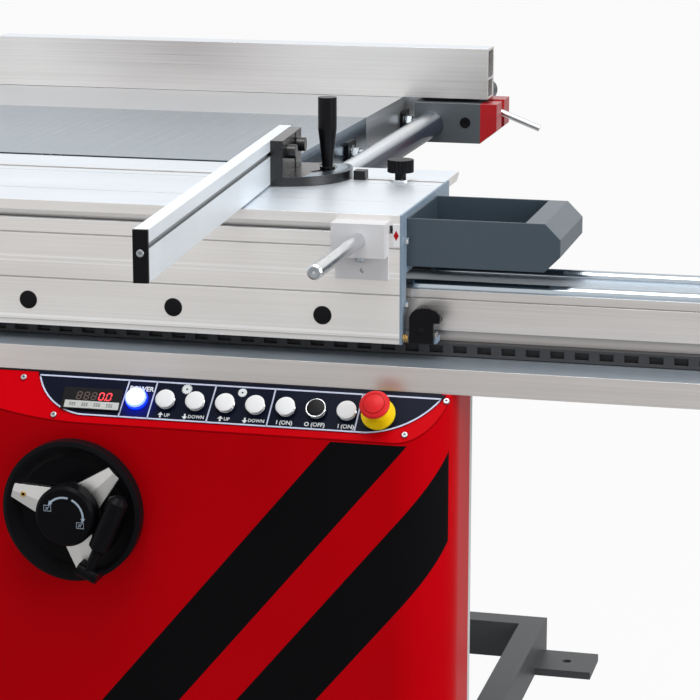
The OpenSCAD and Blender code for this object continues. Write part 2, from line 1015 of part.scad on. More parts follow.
module end_plates() {
  tip = past(plate_t);
  tail = carriage_end - carriage_l;
  base_x = [tip + latch_base_x[0], tip + latch_base_x[1]];
  ear_x = [past(latch_x) - latch_hub_d / 2, past(latch_x) + latch_hub_d / 2];
  color("lightsteelblue") {
    run_x([carriage_end, tip])
      end_outline();
    run_x([tail - plate_t, tail])
      end_outline();
    slab(base_x, [behind(latch_u[0] + latch_cheek_t + gap), behind(latch_u[1])],
      [below(latch_base_depth[1]), below(latch_base_depth[0])]);
    slab(ear_x, [behind(latch_u[1] - latch_ear), behind(latch_u[1])],
      [below(latch_base_depth[1]), below(latch_depth) + latch_pin_d]);
    rod_y(past(latch_x), [behind(latch_u[0]), behind(latch_u[1])], below(latch_depth), latch_pin_d);
  }
}

module latch_lever() {
  z = below(latch_depth);
  color("black")
    difference() {
      union() {
        run_y([behind(latch_u[0]), behind(latch_u[0] + latch_cheek_t)])
          translate([past(latch_x), z])
            polygon(latch_face);
        run_y([behind(latch_u[0] + over), behind(latch_u[1] - latch_ear - gap)])
          translate([past(latch_x), z]) {
            circle(d = latch_hub_d);
            translate(latch_head)
              circle(d = latch_head_d);
            polygon(latch_boot);
          }
      }
      rod_y(past(latch_x), [behind(latch_u[0]) - over, behind(latch_u[1]) + over], z,
        latch_pin_d + 2 * fit);
    }
}

// Outline of the tray from the side, set in by t
function tray_side(t) = [
  [t, t > 0 ? over : 0],
  [tray_l - tray_bevel - t * sqrt(2) + (t > 0 ? -over : 0), t > 0 ? over : 0],
  [tray_l - t, -tray_bevel - t * (sqrt(2) - 1)],
  [tray_l - t, tray_bevel - tray_h + t * (sqrt(2) - 1)],
  [tray_l - tray_bevel - t * (sqrt(2) - 1), t - tray_h],
  [t, t - tray_h]
];

module tool_tray() {
  u = [tray_u, tray_u + tray_w];
  color("darkslategray")
    translate([past(plate_t), 0, below(tray_drop)])
      union() {
        difference() {
          run_y([behind(u[0]), behind(u[1])])
            polygon(tray_side(0));
          run_y([behind(u[0]) + tray_sheet, behind(u[1]) - tray_sheet])
            polygon(tray_side(tray_sheet));
        }
        slab([tray_l - tray_bevel - tray_lip, tray_l - tray_bevel], [behind(u[0]), behind(u[1])],
          [-tray_sheet, 0]);
      }
}

module end_screws() {
  color("silver")
    for (depth = screw_depths)
      translate([past(plate_t), behind(screw_u), below(depth)])
        rotate([0, 90, 0])
          cylinder(d = screw_d, h = screw_h, $fn = 6);
}

module pointer_flag() {
  color("white")
    slab([past(flag_x[0]), past(flag_x[1])], [carriage_y0 - flag_t, carriage_y0],
      [below(flag_depth[1]), below(flag_depth[0])]);
}

// Push handle

module handle_clamp() {
  x = [past(clamp_x[0]), past(clamp_x[1])];
  face = carriage_y0 - gap;
  color("whitesmoke")
    difference() {
      union() {
        slab(x, [carriage_y0 - clamp_t, face], [below(clamp_depth[1]), below(clamp_depth[0])]);
        slab(x, [face - clamp_plate_t, face], [below(clamp_plate_depth), below(clamp_depth[1])]);
        slab(x, [face, carriage_y0 + side_mouth_t + gap],
          [below(side_mouth[1] - gap), below(side_mouth[0] + gap)]);
        slab(x, [carriage_y0 + side_mouth_t + gap, carriage_y0 + side_mouth_t + side_inner_t - gap],
          [below(side_inner[1] - gap), below(side_inner[0] + gap)]);
      }
      rod_y(past(handle_x), [carriage_y0 - clamp_t - over, carriage_y0 - clamp_t + handle_root],
        below(handle_depth), handle_d);
      rod_y(past(handle_x), [carriage_y0 - clamp_t - over, face + over], below(clamp_hole_depth),
        clamp_hole_d);
    }
}

module handle_bar() {
  y = carriage_y0 - clamp_t;
  color("silver") {
    rod_y(past(handle_x), [y - handle_l, y + handle_root], below(handle_depth), handle_d);
    translate([past(handle_x), y - handle_l, below(handle_depth)])
      rotate([90, 0, 0])
        cylinder(d1 = handle_d, d2 = handle_d - 2 * handle_nose, h = handle_nose);
  }
}

// Mitre gauge

// Puts its children at the mitre gauge's pivot, turned as the fence stands at rest
module at_mitre() {
  translate([mitre_x, mitre_y, table_h])
    rotate([0, 0, mitre_rest])
      children();
}

module slot_runner(x) {
  slab(x, [mitre_y - slot_inner / 2 + gap, mitre_y + slot_inner / 2 - gap],
    [below(slot_mouth_h + slot_inner_h) + gap, below(slot_mouth_h) - gap]);
  slab(x, [mitre_y - slot_mouth / 2 + gap, mitre_y + slot_mouth / 2 - gap],
    [below(slot_mouth_h) - gap, table_h]);
}

module mitre_shoe() {
  pointer = [mitre_x + pointer_x[0], mitre_x + pointer_x[1]];
  plate_top = table_h + mitre_lift + mitre_plate_t;
  color("dimgray") {
    slot_runner([mitre_x + shoe_x[0], mitre_x + shoe_x[1]]);
    rod_z(mitre_x, mitre_y, [below(slot_mouth_h), plate_top], mitre_pin_d);
    rod_z(mitre_x + stud_r, mitre_y, [below(slot_mouth_h), plate_top + grip_h / 2], mitre_stud_d);
    slab(pointer, [mitre_y - pointer_w / 2, mitre_y + pointer_w / 2], [table_h + gap, table_h + pointer_h]);
    slab(pointer, [mitre_y - slot_mouth / 2 + gap, mitre_y + slot_mouth / 2 - gap],
      [table_h, table_h + pointer_h]);
  }
}

module mitre_plate() {
  x = [mitre_back, mitre_back + mitre_flange_t];
  color("black")
    at_mitre()
      difference() {
        union() {
          translate([0, 0, mitre_lift])
            linear_extrude(mitre_plate_t)
              intersection() {
                translate([mitre_shift, 0])
                  circle(r = mitre_r);
                pane([mitre_back, mitre_r], mitre_plate_y);
              }
          slab(x, mitre_plate_y, [mitre_lift, mitre_foot + mitre_h]);
        }
        translate([0, 0, mitre_lift - over])
          cylinder(d = mitre_pin_d + 2 * fit, h = mitre_h + 2 * over);
        translate([0, 0, mitre_lift - over])
          rotate([0, 0, -arc_half])
            rotate_extrude(angle = 2 * arc_half)
              pane([stud_r - arc_w / 2, stud_r + arc_w / 2], [0, mitre_plate_t + 2 * over]);
        for (y = bolt_y)
          rod_x([x[0] - over, x[1] + over], y, bolt_z, bolt_d);
      }
}

module mitre_fence() {
  x = [mitre_back - mitre_t, mitre_back];
  z = [mitre_foot, mitre_foot + mitre_h];
  color("silver")
    at_mitre()
      run_y([mitre_far - mitre_l, mitre_far])
        difference() {
          pane(x, z);
          pane([x[1] - groove_t, x[1] + over], groove_z);
          pane([x[0] - over, x[0] + groove_t], groove_z);
          pane([x[0] + groove_t, x[1] - groove_t], [z[0] - over, z[0] + groove_t]);
        }
}

module fence_caps() {
  x = [mitre_back - mitre_t, mitre_back];
  z = [mitre_foot, mitre_foot + mitre_h];
  color("black")
    at_mitre() {
      slab(x, [mitre_far, mitre_far + cap_t], z);
      slab(x, [mitre_far - mitre_l - cap_t, mitre_far - mitre_l], z);
    }
}

module mitre_bolts() {
  x = mitre_back + mitre_flange_t;
  color("black")
    at_mitre()
      for (y = bolt_y) {
        rod_x([mitre_back - groove_t, x + bolt_head_l], y, bolt_z, bolt_d);
        rod_x([x, x + bolt_head_l], y, bolt_z, bolt_head_d);
      }
}

module mitre_handle() {
  base = table_h + mitre_lift + mitre_plate_t + gap;
  foot = base + grip_washer_t;
  color("black")
    difference() {
      union() {
        rod_z(mitre_x + stud_r, mitre_y, [base, foot], grip_washer_d);
        translate([mitre_x + stud_r, mitre_y, foot]) {
          cylinder(d1 = grip_foot_d, d2 = grip_top_d, h = grip_h * grip_belly_share);
          translate([0, 0, grip_h * grip_belly_share])
            cylinder(d = grip_top_d, h = grip_h * (1 - grip_belly_share));
        }
      }
      rod_z(mitre_x + stud_r, mitre_y, [base - over, base + grip_h / 2], mitre_stud_d + 2 * fit);
    }
}

// Clamp knob in the T-slot

module slot_bolt() {
  top = table_h + gap + knob_washer_t;
  color("silver") {
    slot_runner([knob_x - slot_inner / 2, knob_x + slot_inner / 2]);
    rod_z(knob_x, mitre_y, [below(slot_mouth_h), top + knob_collar_h + knob_h / 2], knob_bolt_d);
    rod_z(knob_x, mitre_y, [table_h + gap, top], knob_washer_d);
  }
}

module slot_knob() {
  foot = table_h + 2 * gap + knob_washer_t;
  color("black")
    difference() {
      union() {
        rod_z(knob_x, mitre_y, [foot, foot + knob_collar_h], knob_collar_d);
        rod_z(knob_x, mitre_y, [foot + knob_collar_h, foot + knob_collar_h + knob_h], knob_d);
      }
      rod_z(knob_x, mitre_y, [foot - over, foot + knob_collar_h + knob_h / 2 + gap], knob_bolt_d + 2 * fit);
      for (i = [0 : knob_ribs - 1])
        translate([knob_x, mitre_y, foot + knob_collar_h - over])
          rotate([0, 0, i * 360 / knob_ribs])
            translate([knob_d / 2 + knob_rib_d / 4, 0, 0])
              cylinder(d = knob_rib_d, h = knob_h + 2 * over);
    }
}

// Handwheel

// Puts its children on the handwheel's axis, with Z pointing at the operator
module at_wheel() {
  translate([wheel_x, cover_y0, wheel_z])
    rotate([90, 0, 0])
      children();
}

module handwheel() {
  r = wheel_d / 2;
  color("black")
    at_wheel() {
      difference() {
        union() {
          rotate_extrude()
            polygon([[shaft_d / 2, dish_back], [hub_d / 2, dish_back], [r - rim_t, rim_back],
              [r, rim_back + rim_t / 2],
              [r, rim_front - rim_t / 4], [r - rim_t / 2, rim_front], [r - rim_t, rim_front - rim_t / 4],
              [r - 2 * rim_t, rim_back + dish_deep], [hub_d / 2, dish_back + dish_deep],
              [shaft_d / 2, dish_back + dish_deep]]);
          crank_place()
            for (side = [-1, 1])
              crank_ear(side);
        }
        translate([0, 0, spoke_back])
          linear_extrude(spoke_front - spoke_back + gap)
            for (a = spoke_angles)
              rotate(a)
                spoke_outline(gap);
      }
      translate([0, 0, spoke_front])
        rotate_extrude()
          polygon([[0, 0], [hub_d / 2, 0], [hub_d / 2, hub_front - spoke_front - hub_bevel],
            [hub_d / 2 - hub_bevel, hub_front - spoke_front], [0, hub_front - spoke_front]]);
    }
}

// Tapered spoke along X, made wider by t
module spoke_outline(t) {
  tip = wheel_d / 2 - rim_t;
  polygon([[0, spoke_root_w / 2 + t], [tip + t, spoke_tip_w / 2 + t], [tip + t, -spoke_tip_w / 2 - t],
    [0, -spoke_root_w / 2 - t]]);
}

// Spoke along X that falls away on both sides of a middle ridge
module ridged_spoke() {
  intersection() {
    translate([0, 0, spoke_back])
      linear_extrude(spoke_front)
        spoke_outline(0);
    run_x([-over, wheel_d])
      polygon([[-spoke_root_w, spoke_back - over], [spoke_root_w, spoke_back - over],
        [spoke_root_w, spoke_front - 2 * spoke_fall], [0, spoke_front],
        [-spoke_root_w, spoke_front - 2 * spoke_fall]]);
  }
}

module wheel_spokes() {
  color("silver")
    at_wheel() {
      translate([0, 0, -shaft_back])
        cylinder(d = shaft_d, h = shaft_back + spoke_front);
      difference() {
        union() {
          for (a = spoke_angles)
            rotate(a)
              ridged_spoke();
          translate([0, 0, dish_back + dish_deep])
            cylinder(d = hub_d - 2 * hub_bevel, h = spoke_front - dish_back - dish_deep);
        }
        rotate(spoke_angles[1])
          translate([(wheel_d + hub_d) / 4, 0, spoke_back - over])
            cylinder(d = spoke_hole_d, h = spoke_front - spoke_back + 2 * over);
      }
    }
}

// Puts its children on the crank's fold pin, with X along the pin and Y along the folded grip
module crank_place() {
  rotate(crank_angle)
    translate([crank_pin_r, 0, crank_fwd])
      rotate(crank_turn + 90)
        children();
}

module crank_ear(side) {
  inner = crank_boss_l / 2 + gap;
  x = side > 0 ? [inner, inner + ear_t] : [-inner - ear_t, -inner];
  slab(x, [-crank_boss_d / 2, crank_boss_d / 2], [rim_back - crank_fwd + rim_t, 0]);
  rod_x(x, 0, 0, crank_boss_d);
  rod_x(side > 0 ? [0, x[1]] : [x[0], 0], 0, 0, crank_pin_d);
}

module crank_grip() {
  grip_end = crank_arm_l + crank_grip_l;
  color("black")
    at_wheel()
      crank_place()
        difference() {
          union() {
            rod_x([-crank_boss_l / 2, crank_boss_l / 2], 0, 0, crank_boss_d);
            rotate([-90, 0, 0])
              rotate_extrude()
                polygon([[0, 0], [crank_arm_w / 2, 0], [crank_arm_w / 2, crank_arm_l],
                  [crank_grip_d / 2, crank_arm_l + crank_arm_w / 2],
                    [crank_grip_d / 2, grip_end - crank_arm_w / 2],
                  [crank_arm_w / 2, grip_end], [0, grip_end]]);
          }
          rod_x([-crank_boss_l, crank_boss_l], 0, 0, crank_pin_d + 2 * fit);
        }
}

// Saw unit

// Teeth round a blade's edge
module tooth_ring(d, n, h, l, t) {
  for (i = [0 : n - 1])
    rotate(i * 360 / n)
      translate([d / 2 - h, 0, -t / 2])
        linear_extrude(t)
          polygon([[0, 0], [h, 0], [h / 2, l / 2], [0, l]]);
}

module blade_disc(d, body_t, n, bore, h, l, t) {
  difference() {
    union() {
      translate([0, 0, -body_t / 2])
        cylinder(d = d - 2 * h + h / 2, h = body_t);
      tooth_ring(d, n, h, l, t);
    }
    translate([0, 0, -t])
      cylinder(d = bore, h = 2 * t);
  }
}

module saw_blade() {
  color("lightgray")
    translate([blade_x, blade_y, blade_z])
      rotate([90, 0, 0])
        blade_disc(blade_d, blade_t, blade_teeth, arbor_d, tooth_h, tooth_l, tooth_w);
}

module scoring_blade() {
  color("lightgray") {
    translate([score_x, blade_y, score_z])
      rotate([90, 0, 0])
        blade_disc(score_d, score_t, score_teeth, score_arbor_d, tooth_h / 2, tooth_l / 2, score_t);
    rod_y(score_x, [blade_y - score_t / 2, blade_y + cradle_y[1]], score_z, score_arbor_d);
  }
}

module arbor() {
  face = blade_t / 2;
  color("gray")
    translate([blade_x, blade_y, blade_z]) {
      rod_y(0, [-face - flange_t - nut_t, pulley_y[1]], 0, arbor_d);
      rod_y(0, [-face - flange_t, -face], 0, flange_d);
      rod_y(0, [face, face + flange_t], 0, flange_d);
      rod_y(0, [-face - flange_t - nut_t, -face - flange_t], 0, nut_d);
      belt_pulley();
    }
}

// Ribbed pulley, centred on the shaft
module belt_pulley() {
  step = (pulley_y[1] - pulley_y[0]) / pulley_grooves;
  difference() {
    rod_y(0, pulley_y, 0, pulley_d);
    for (i = [0 : pulley_grooves - 1])
      translate([0, pulley_y[0] + (i + 1 / 2) * step, 0])
        rotate([-90, 0, 0])
          rotate_extrude()
            polygon([[pulley_d / 2 - pulley_groove, 0], [pulley_d / 2 + over, -step / 3],
              [pulley_d / 2 + over, step / 3]]);
  }
}

// Saw unit's fixed tilt tracks, one at each end
module track_arc(angles, r, x) {
  translate([x[0], blade_y, table_h])
    rotate([90, 0, 90])
      rotate([0, 0, angles[0] - 90])
        rotate_extrude(angle = angles[1] - angles[0])
          pane(r, [0, x[1] - x[0]]);
}

function trunnion_x(side) = side > 0 ? [cradle_x[1],
  cradle_x[1] + trunnion_w] : [cradle_x[0] - trunnion_w, cradle_x[0]];

module trunnions() {
  rim = [trunnion_r[0] - trunnion_rim, trunnion_r[1] + trunnion_rim];
  hanger = track_angles[1] + trunnion_cap / 2;
  hanger_y = [blade_y + trunnion_r[0] * sin(hanger), blade_y + trunnion_r[1] * sin(hanger)];
  hanger_z = [below(trunnion_r[0] * cos(hanger)), below(table_plate)];
  color("dimgray")
    for (side = [-1, 1]) {
      x = trunnion_x(side);
      difference() {
        union() {
          track_arc([track_angles[0], track_angles[1] + trunnion_cap], rim, x);
          slab(x, hanger_y, hanger_z);
        }
        track_arc(track_angles, [trunnion_r[0] - gap, trunnion_r[1] + gap],
          side > 0 ? [x[0] - over, x[0] + shoe_t + gap] : [x[1] - shoe_t - gap, x[1] + over]);
      }
    }
}

module tilt_cradle() {
  inner = [cradle_x[0] + gap, cradle_x[1] - gap];
  color("slategray")
    difference() {
      union() {
        translate([0, blade_y, table_h]) {
          difference() {
            slab(inner, cradle_y, cradle_z);
            slab([blade_x - cradle_window_x, blade_x + cradle_window_x],
              [cradle_y[0] - over, cradle_y[1] + over], cradle_window_z);
          }
          for (side = [-1, 1])
            guide_column(blade_x + side * guide_x);
        }
        track_arc(shoe_angles, trunnion_r, [cradle_x[1] - shoe_t, cradle_x[1] + shoe_t]);
        track_arc(shoe_angles, trunnion_r, [cradle_x[0] - shoe_t, cradle_x[0] + shoe_t]);
        rod_y(score_x, [blade_y + score_housing_y, blade_y + cradle_y[0]], score_z, score_housing_d);
      }
      rod_y(score_x, [blade_y, blade_y + cradle_y[1] + over], score_z, score_arbor_d + 2 * fit);
    }
}

// Column on which the lift slide runs, held by an ear at each end
module guide_column(x) {
  ear_x = [x - guide_ear_w / 2, x + guide_ear_w / 2];
  ear_y = [guide_y - guide_d, cradle_y[0]];
  rod_z(x, guide_y, [cradle_z[0], guide_ear_z + guide_ear_h[0]], guide_d);
  slab(ear_x, ear_y, [guide_ear_z, guide_ear_z + guide_ear_h[0]]);
  slab(ear_x, ear_y, [cradle_z[0], cradle_z[0] + guide_ear_h[1]]);
}

module lift_slide() {
  color("slategray")
    translate([blade_x, blade_y, blade_z])
      difference() {
        union() {
          rod_y(0, housing_y, 0, housing_d);
          slab([-slide_web, slide_web], slide_y, [slide_z[0], 0]);
          slab([-slide_half, slide_half], slide_y, slide_z);
          for (side = [-1, 1])
            rod_y(side * post_x, [slide_y[1], motor_plate_y[0]], post_z, post_d);
          slab([-slide_half, slide_half], motor_plate_y, motor_plate_z);
          slab(arm_x, slide_y, arm_z);
          slab(arm_foot_x, [knife_t / 2, slide_y[1]], arm_foot_z);
        }
        rod_y(0, [housing_y[0] - over, housing_y[1] + over], 0, arbor_d + 2 * fit);
        rod_y(0, [motor_plate_y[0] - over, motor_plate_y[1] + over], -motor_drop, motor_shaft_d + 2 * gap);
        for (side = [-1, 1])
          rod_z(side * guide_x, guide_y, [slide_z[0] - over, slide_z[1] + over], guide_d + 2 * fit);
      }
}

module drive_motor() {
  fin_y = [motor_y[0] + motor_fin_h, motor_y[1] - motor_cowl_l];
  color("steelblue")
    translate([blade_x, blade_y, blade_z - motor_drop])
      difference() {
        union() {
          rod_y(0, motor_y, 0, motor_d);
          slab([-motor_box[0] / 2, motor_box[0] / 2], [fin_y[0], fin_y[0] + motor_box[1]],
            [-motor_d / 2 - motor_box[2], 0]);
        }
        rod_y(0, [motor_y[0] - over, motor_y[0] + motor_seat], 0, motor_shaft_d + 2 * fit);
        for (i = [0 : motor_fins - 1])
          rotate([0, (i + 1 / 2) * 360 / motor_fins, 0])
            slab([-motor_fin_t / 2, motor_fin_t / 2], fin_y,
              [motor_d / 2 - motor_fin_h, motor_d / 2 + over]);
      }
}

module motor_pulley() {
  color("gray")
    translate([blade_x, blade_y, blade_z - motor_drop]) {
      belt_pulley();
      rod_y(0, [pulley_y[0], motor_y[0] + motor_seat - gap], 0, motor_shaft_d);
    }
}

// Outline of the belt round both pulleys, at distance r from their centres
module belt_loop(r) {
  pane([-r, r], [-motor_drop, 0]);
  circle(r = r);
  translate([0, -motor_drop])
    circle(r = r);
}

module drive_belt() {
  color("black")
    translate([blade_x, blade_y, blade_z])
      run_y(pulley_y)
        difference() {
          belt_loop(pulley_d / 2 + belt_t);
          belt_loop(pulley_d / 2 + gap);
        }
}

module riving_knife() {
  color("silver")
    translate([blade_x, blade_y, blade_z])
      difference() {
        union() {
          translate([0, knife_t / 2, 0])
            rotate([90, 0, 0])
              rotate([0, 0, knife_angles[0]])
                rotate_extrude(angle = knife_angles[1] - knife_angles[0])
                  pane(knife_r, [0, knife_t]);
          slab(knife_tab_x, [-knife_t / 2, knife_t / 2], knife_tab_z);
        }
        rod_y(guard_pin_x, [-knife_t, knife_t], table_h + guard_pin_z - blade_z, guard_pin_d + 2 * fit);
      }
}

// Outline of the guard hood from the side, set in by t
module guard_side(t) {
  pane([guard_x[0] + t, guard_x[1] - guard_nose], [guard_z[0] - (t > 0 ? over : 0), guard_z[1] - t]);
  polygon([[guard_x[1] - guard_nose, guard_z[0] - (t > 0 ? over : 0)],
    [guard_x[1] - t, guard_z[0] - (t > 0 ? over : 0)],
    [guard_x[1] - t, (guard_z[0] + guard_z[1]) / 2 - t], [guard_x[1] - guard_nose, guard_z[1] - t]]);
}

module blade_guard() {
  half = guard_w / 2;
  color("orangered")
    translate([blade_x, blade_y, table_h]) {
      difference() {
        run_y([-half, half])
          guard_side(0);
        run_y([guard_wall - half, half - guard_wall])
          guard_side(guard_wall);
        run_y([-knife_t / 2 - guard_room, knife_t / 2 + guard_room])
          pane([guard_x[0] - over, guard_x[0] + guard_wall + over],
            [guard_z[0] - over, guard_z[1] - guard_wall]);
      }
      rod_y(guard_pin_x, [-half, half], guard_pin_z, guard_pin_d);
    }
}

// Rip fence

module fence_carrier() {
  x = carrier_x;
  cap_x = x[1] + carrier_cap;
  mid = (carrier_y[0] + carrier_y[1]) / 2;
  shelf = below(carrier_shelf);
  arm_z = [table_h + arm_lift, table_h + carrier_top];
  color("dimgray")
    difference() {
      union() {
        run_y(carrier_y)
          polygon([[x[0], below(carrier_depth)], [x[1], below(carrier_depth)],
            [cap_x, below(carrier_depth) + carrier_bevel],
            [cap_x, shelf], [x[0], shelf]]);
        slab(x, [carrier_arm_y, carrier_y[1]], [shelf - carrier_bevel, arm_z[1]]);
        slab([x[0] - carrier_reach, x[1]], [carrier_arm_y, carrier_y[1]], arm_z);
        slab([x[0] - carrier_reach, x[1]], [carrier_arm_y - tongue_t, carrier_arm_y],
          [arm_z[0] + tongue_up, arm_z[0] + tongue_up + tongue_h]);
      }
      rod_y(bar_x, [carrier_y[0] - over, carrier_y[1] + over], below(bar_depth), bar_d + 2 * fit);
      slab([x[0] - over, bar_x], [carrier_y[0] - over, carrier_y[1] + over],
        [below(bar_depth) - stud_d / 2 - stud_room, below(bar_depth) + stud_d / 2 + stud_room]);
      slab([lever_x - lever_boss_d, cap_x + over], [mid - lever_slot / 2, mid + lever_slot / 2],
        [below(carrier_depth) - over, shelf + over]);
    }
  color("dimgray")
    rod_y(lever_x, [mid - lever_slot, mid + lever_slot], below(lever_depth), lever_pin_d);
}

module rip_fence() {
  x = [carrier_x[0] - fence_out, carrier_x[0] - fence_out + fence_l];
  y = [carrier_arm_y - gap - fence_t, carrier_arm_y - gap];
  z = [table_h + fence_lift, table_h + fence_h];
  groove = [table_h + arm_lift + tongue_up - gap, table_h + arm_lift + tongue_up + tongue_h + gap];
  color("silver")
    run_x(x)
      difference() {
        pane(y, z);
        pane([y[1] - tongue_t, y[1] + over], groove);
        pane([y[0] + fence_wall, y[1] - fence_wall], [groove[1] + fence_wall, z[1] - fence_wall]);
        pane([y[0] + fence_wall, y[1] - tongue_t - fence_wall], [z[0] + fence_wall, groove[1]]);
      }
}

module fence_lever() {
  mid = (carrier_y[0] + carrier_y[1]) / 2;
  color("silver")
    translate([lever_x, mid, below(lever_depth)])
      difference() {
        union() {
          rod_y(0, [-lever_boss_l / 2, lever_boss_l / 2], 0, lever_boss_d);
          rotate([0, lever_fall, 0])
            rod_x([0, lever_l], 0, 0, lever_rod_d);
        }
        rod_y(0, [-lever_boss_l, lever_boss_l], 0, lever_pin_d + 2 * fit);
      }
}

base_frame();
cabinet();
front_cover();
control_panel();
readout();
power_lamp();
button_collars();
stop_collar();
main_table();
extension_tables();
rail_beam();
guide_rods();
lock_strip();
rail_brackets();
fence_bar();
dust_port();
trunnions();
service_door();
carriage();
carriage_plugs();
end_plates();
tool_tray();
end_screws();
pointer_flag();
latch_lever();
roller_cage();
handle_clamp();
handle_bar();
mitre_shoe();
mitre_plate();
mitre_fence();
fence_caps();
mitre_bolts();
mitre_handle();
slot_bolt();
slot_knob();
handwheel();
wheel_spokes();
crank_grip();
emergency_stop();
tilt_cradle();
lift_slide();
drive_motor();
arbor();
saw_blade();
drive_belt();
motor_pulley();
riving_knife();
blade_guard();
scoring_blade();
fence_carrier();
rip_fence();
fence_lever();
for (i = [0 : len(keys) - 1])
  push_button(i);
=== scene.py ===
import json
import math

import bmesh
import bpy
from mathutils import Matrix, Vector


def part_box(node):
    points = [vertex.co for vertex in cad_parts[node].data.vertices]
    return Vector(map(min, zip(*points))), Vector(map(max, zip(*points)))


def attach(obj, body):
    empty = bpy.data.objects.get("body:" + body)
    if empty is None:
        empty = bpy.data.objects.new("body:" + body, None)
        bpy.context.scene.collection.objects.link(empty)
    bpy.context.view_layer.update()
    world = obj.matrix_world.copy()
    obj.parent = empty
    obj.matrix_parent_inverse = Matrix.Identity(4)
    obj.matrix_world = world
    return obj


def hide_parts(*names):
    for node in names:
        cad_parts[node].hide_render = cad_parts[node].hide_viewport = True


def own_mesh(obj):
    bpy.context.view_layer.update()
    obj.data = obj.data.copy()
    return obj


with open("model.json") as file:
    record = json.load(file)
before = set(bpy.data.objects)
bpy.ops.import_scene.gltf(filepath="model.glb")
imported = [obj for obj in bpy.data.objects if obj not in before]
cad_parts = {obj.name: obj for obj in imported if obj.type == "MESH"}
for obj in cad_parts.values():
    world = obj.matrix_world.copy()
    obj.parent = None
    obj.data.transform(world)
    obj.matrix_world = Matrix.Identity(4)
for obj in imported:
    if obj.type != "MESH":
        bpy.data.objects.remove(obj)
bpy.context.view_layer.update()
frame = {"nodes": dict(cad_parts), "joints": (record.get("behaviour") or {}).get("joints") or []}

bl_info = {
    "name": "Sliding table saw",
    "version": (1, 0, 0),
    "blender": (4, 5, 0),
    "location": "View3D > Sidebar > Saw",
    "description": "Finishes, markings and studio of a sliding table saw",
    "category": "Object",
}

NODES = frame["nodes"]
JOINTS = {joint["name"]: joint for joint in frame["joints"]}
MM = 0.001

# Front cover and its stripes
COVER_LOW, COVER_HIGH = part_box("front_cover")
COVER_CORNER = 74 * MM
COVER_FRONT = -360 * MM
# Depth of the band of painted shade on the front just under the panel's fold
CREASE = 1.6 * MM
STRIPE_STARTS = (59.6 * MM, 238.6 * MM)
STRIPE_TOP = 568.5 * MM
STRIPE_END = 702 * MM

# Control panel: the arc at each end of its label is a centre, a radius and a side
PANEL_RUN = 48.3 * MM
PANEL_DROP = 57.5 * MM
PANEL_LENGTH = math.hypot(PANEL_RUN, PANEL_DROP)
LABEL_HEIGHT = 1.5 * MM
LABEL_ROWS = (7 * MM, 64.5 * MM)
LABEL_ENDS = ((190 * MM, 17.1 * MM, 82 * MM, -1), (570 * MM, 63.1 * MM, 128 * MM, 1))
READOUT_HEIGHT = 4.5 * MM
KEY_ROW = 36 * MM
KEY_FIRST = 258 * MM
KEY_PITCH = 42 * MM
KEY_CAP_FOOT = 7.2 * MM
# Centre and reach of the painted glow of the power lamp on the label
LAMP_SPOT = (2 * MM, -7 * MM)
LAMP_REACH = 36 * MM

# Handwheel, mitre gauge, latch and tables
WHEEL = Vector(JOINTS["wheel_turn"]["pos_m"])
HUB_FRONT = 60 * MM
SPOKE_FRONT = 36 * MM
SPOKE_HOLE = (70 * MM, math.radians(163))
MITRE = Vector(JOINTS["mitre_swivel"]["pos_m"])
MITRE_REST = math.radians(4.6)
MITRE_SHIFT = -13 * MM
MITRE_EDGE = 95 * MM
LATCH = Vector(JOINTS["latch_turn"]["pos_m"])
SHEET_FOOT = 799 * MM
CARRIER_CAP = 30 * MM

# Heights of thin plates and of print on them
PLATE = 0.2 * MM
PRINT = 0.15 * MM
GLOW_BLACK = (0, 0, 0, 1)
WHITE = (1, 1, 1, 1)


def linear(*channels):
    """Screen colour from 0 to 255 as linear light."""
    return tuple(((c / 255 + 0.055) / 1.055) ** 2.4 if c > 10 else c / 255 / 12.92 for c in channels)


# Settings


def colour(name, description, *channels):
    return bpy.props.FloatVectorProperty(
        name=name, description=description, subtype="COLOR", size=3, min=0, max=1, default=linear(*channels))


def length(name, description, millimetres):
    return bpy.props.FloatProperty(
        name=name, description=description, unit="LENGTH", min=0, default=millimetres * MM, precision=5)


def share(name, description, value):
    return bpy.props.FloatProperty(
        name=name, description=description, subtype="FACTOR", min=0, max=1, default=value)


def power(name, description, watts):
    return bpy.props.FloatProperty(name=name, description=description, unit="POWER", min=0, default=watts)


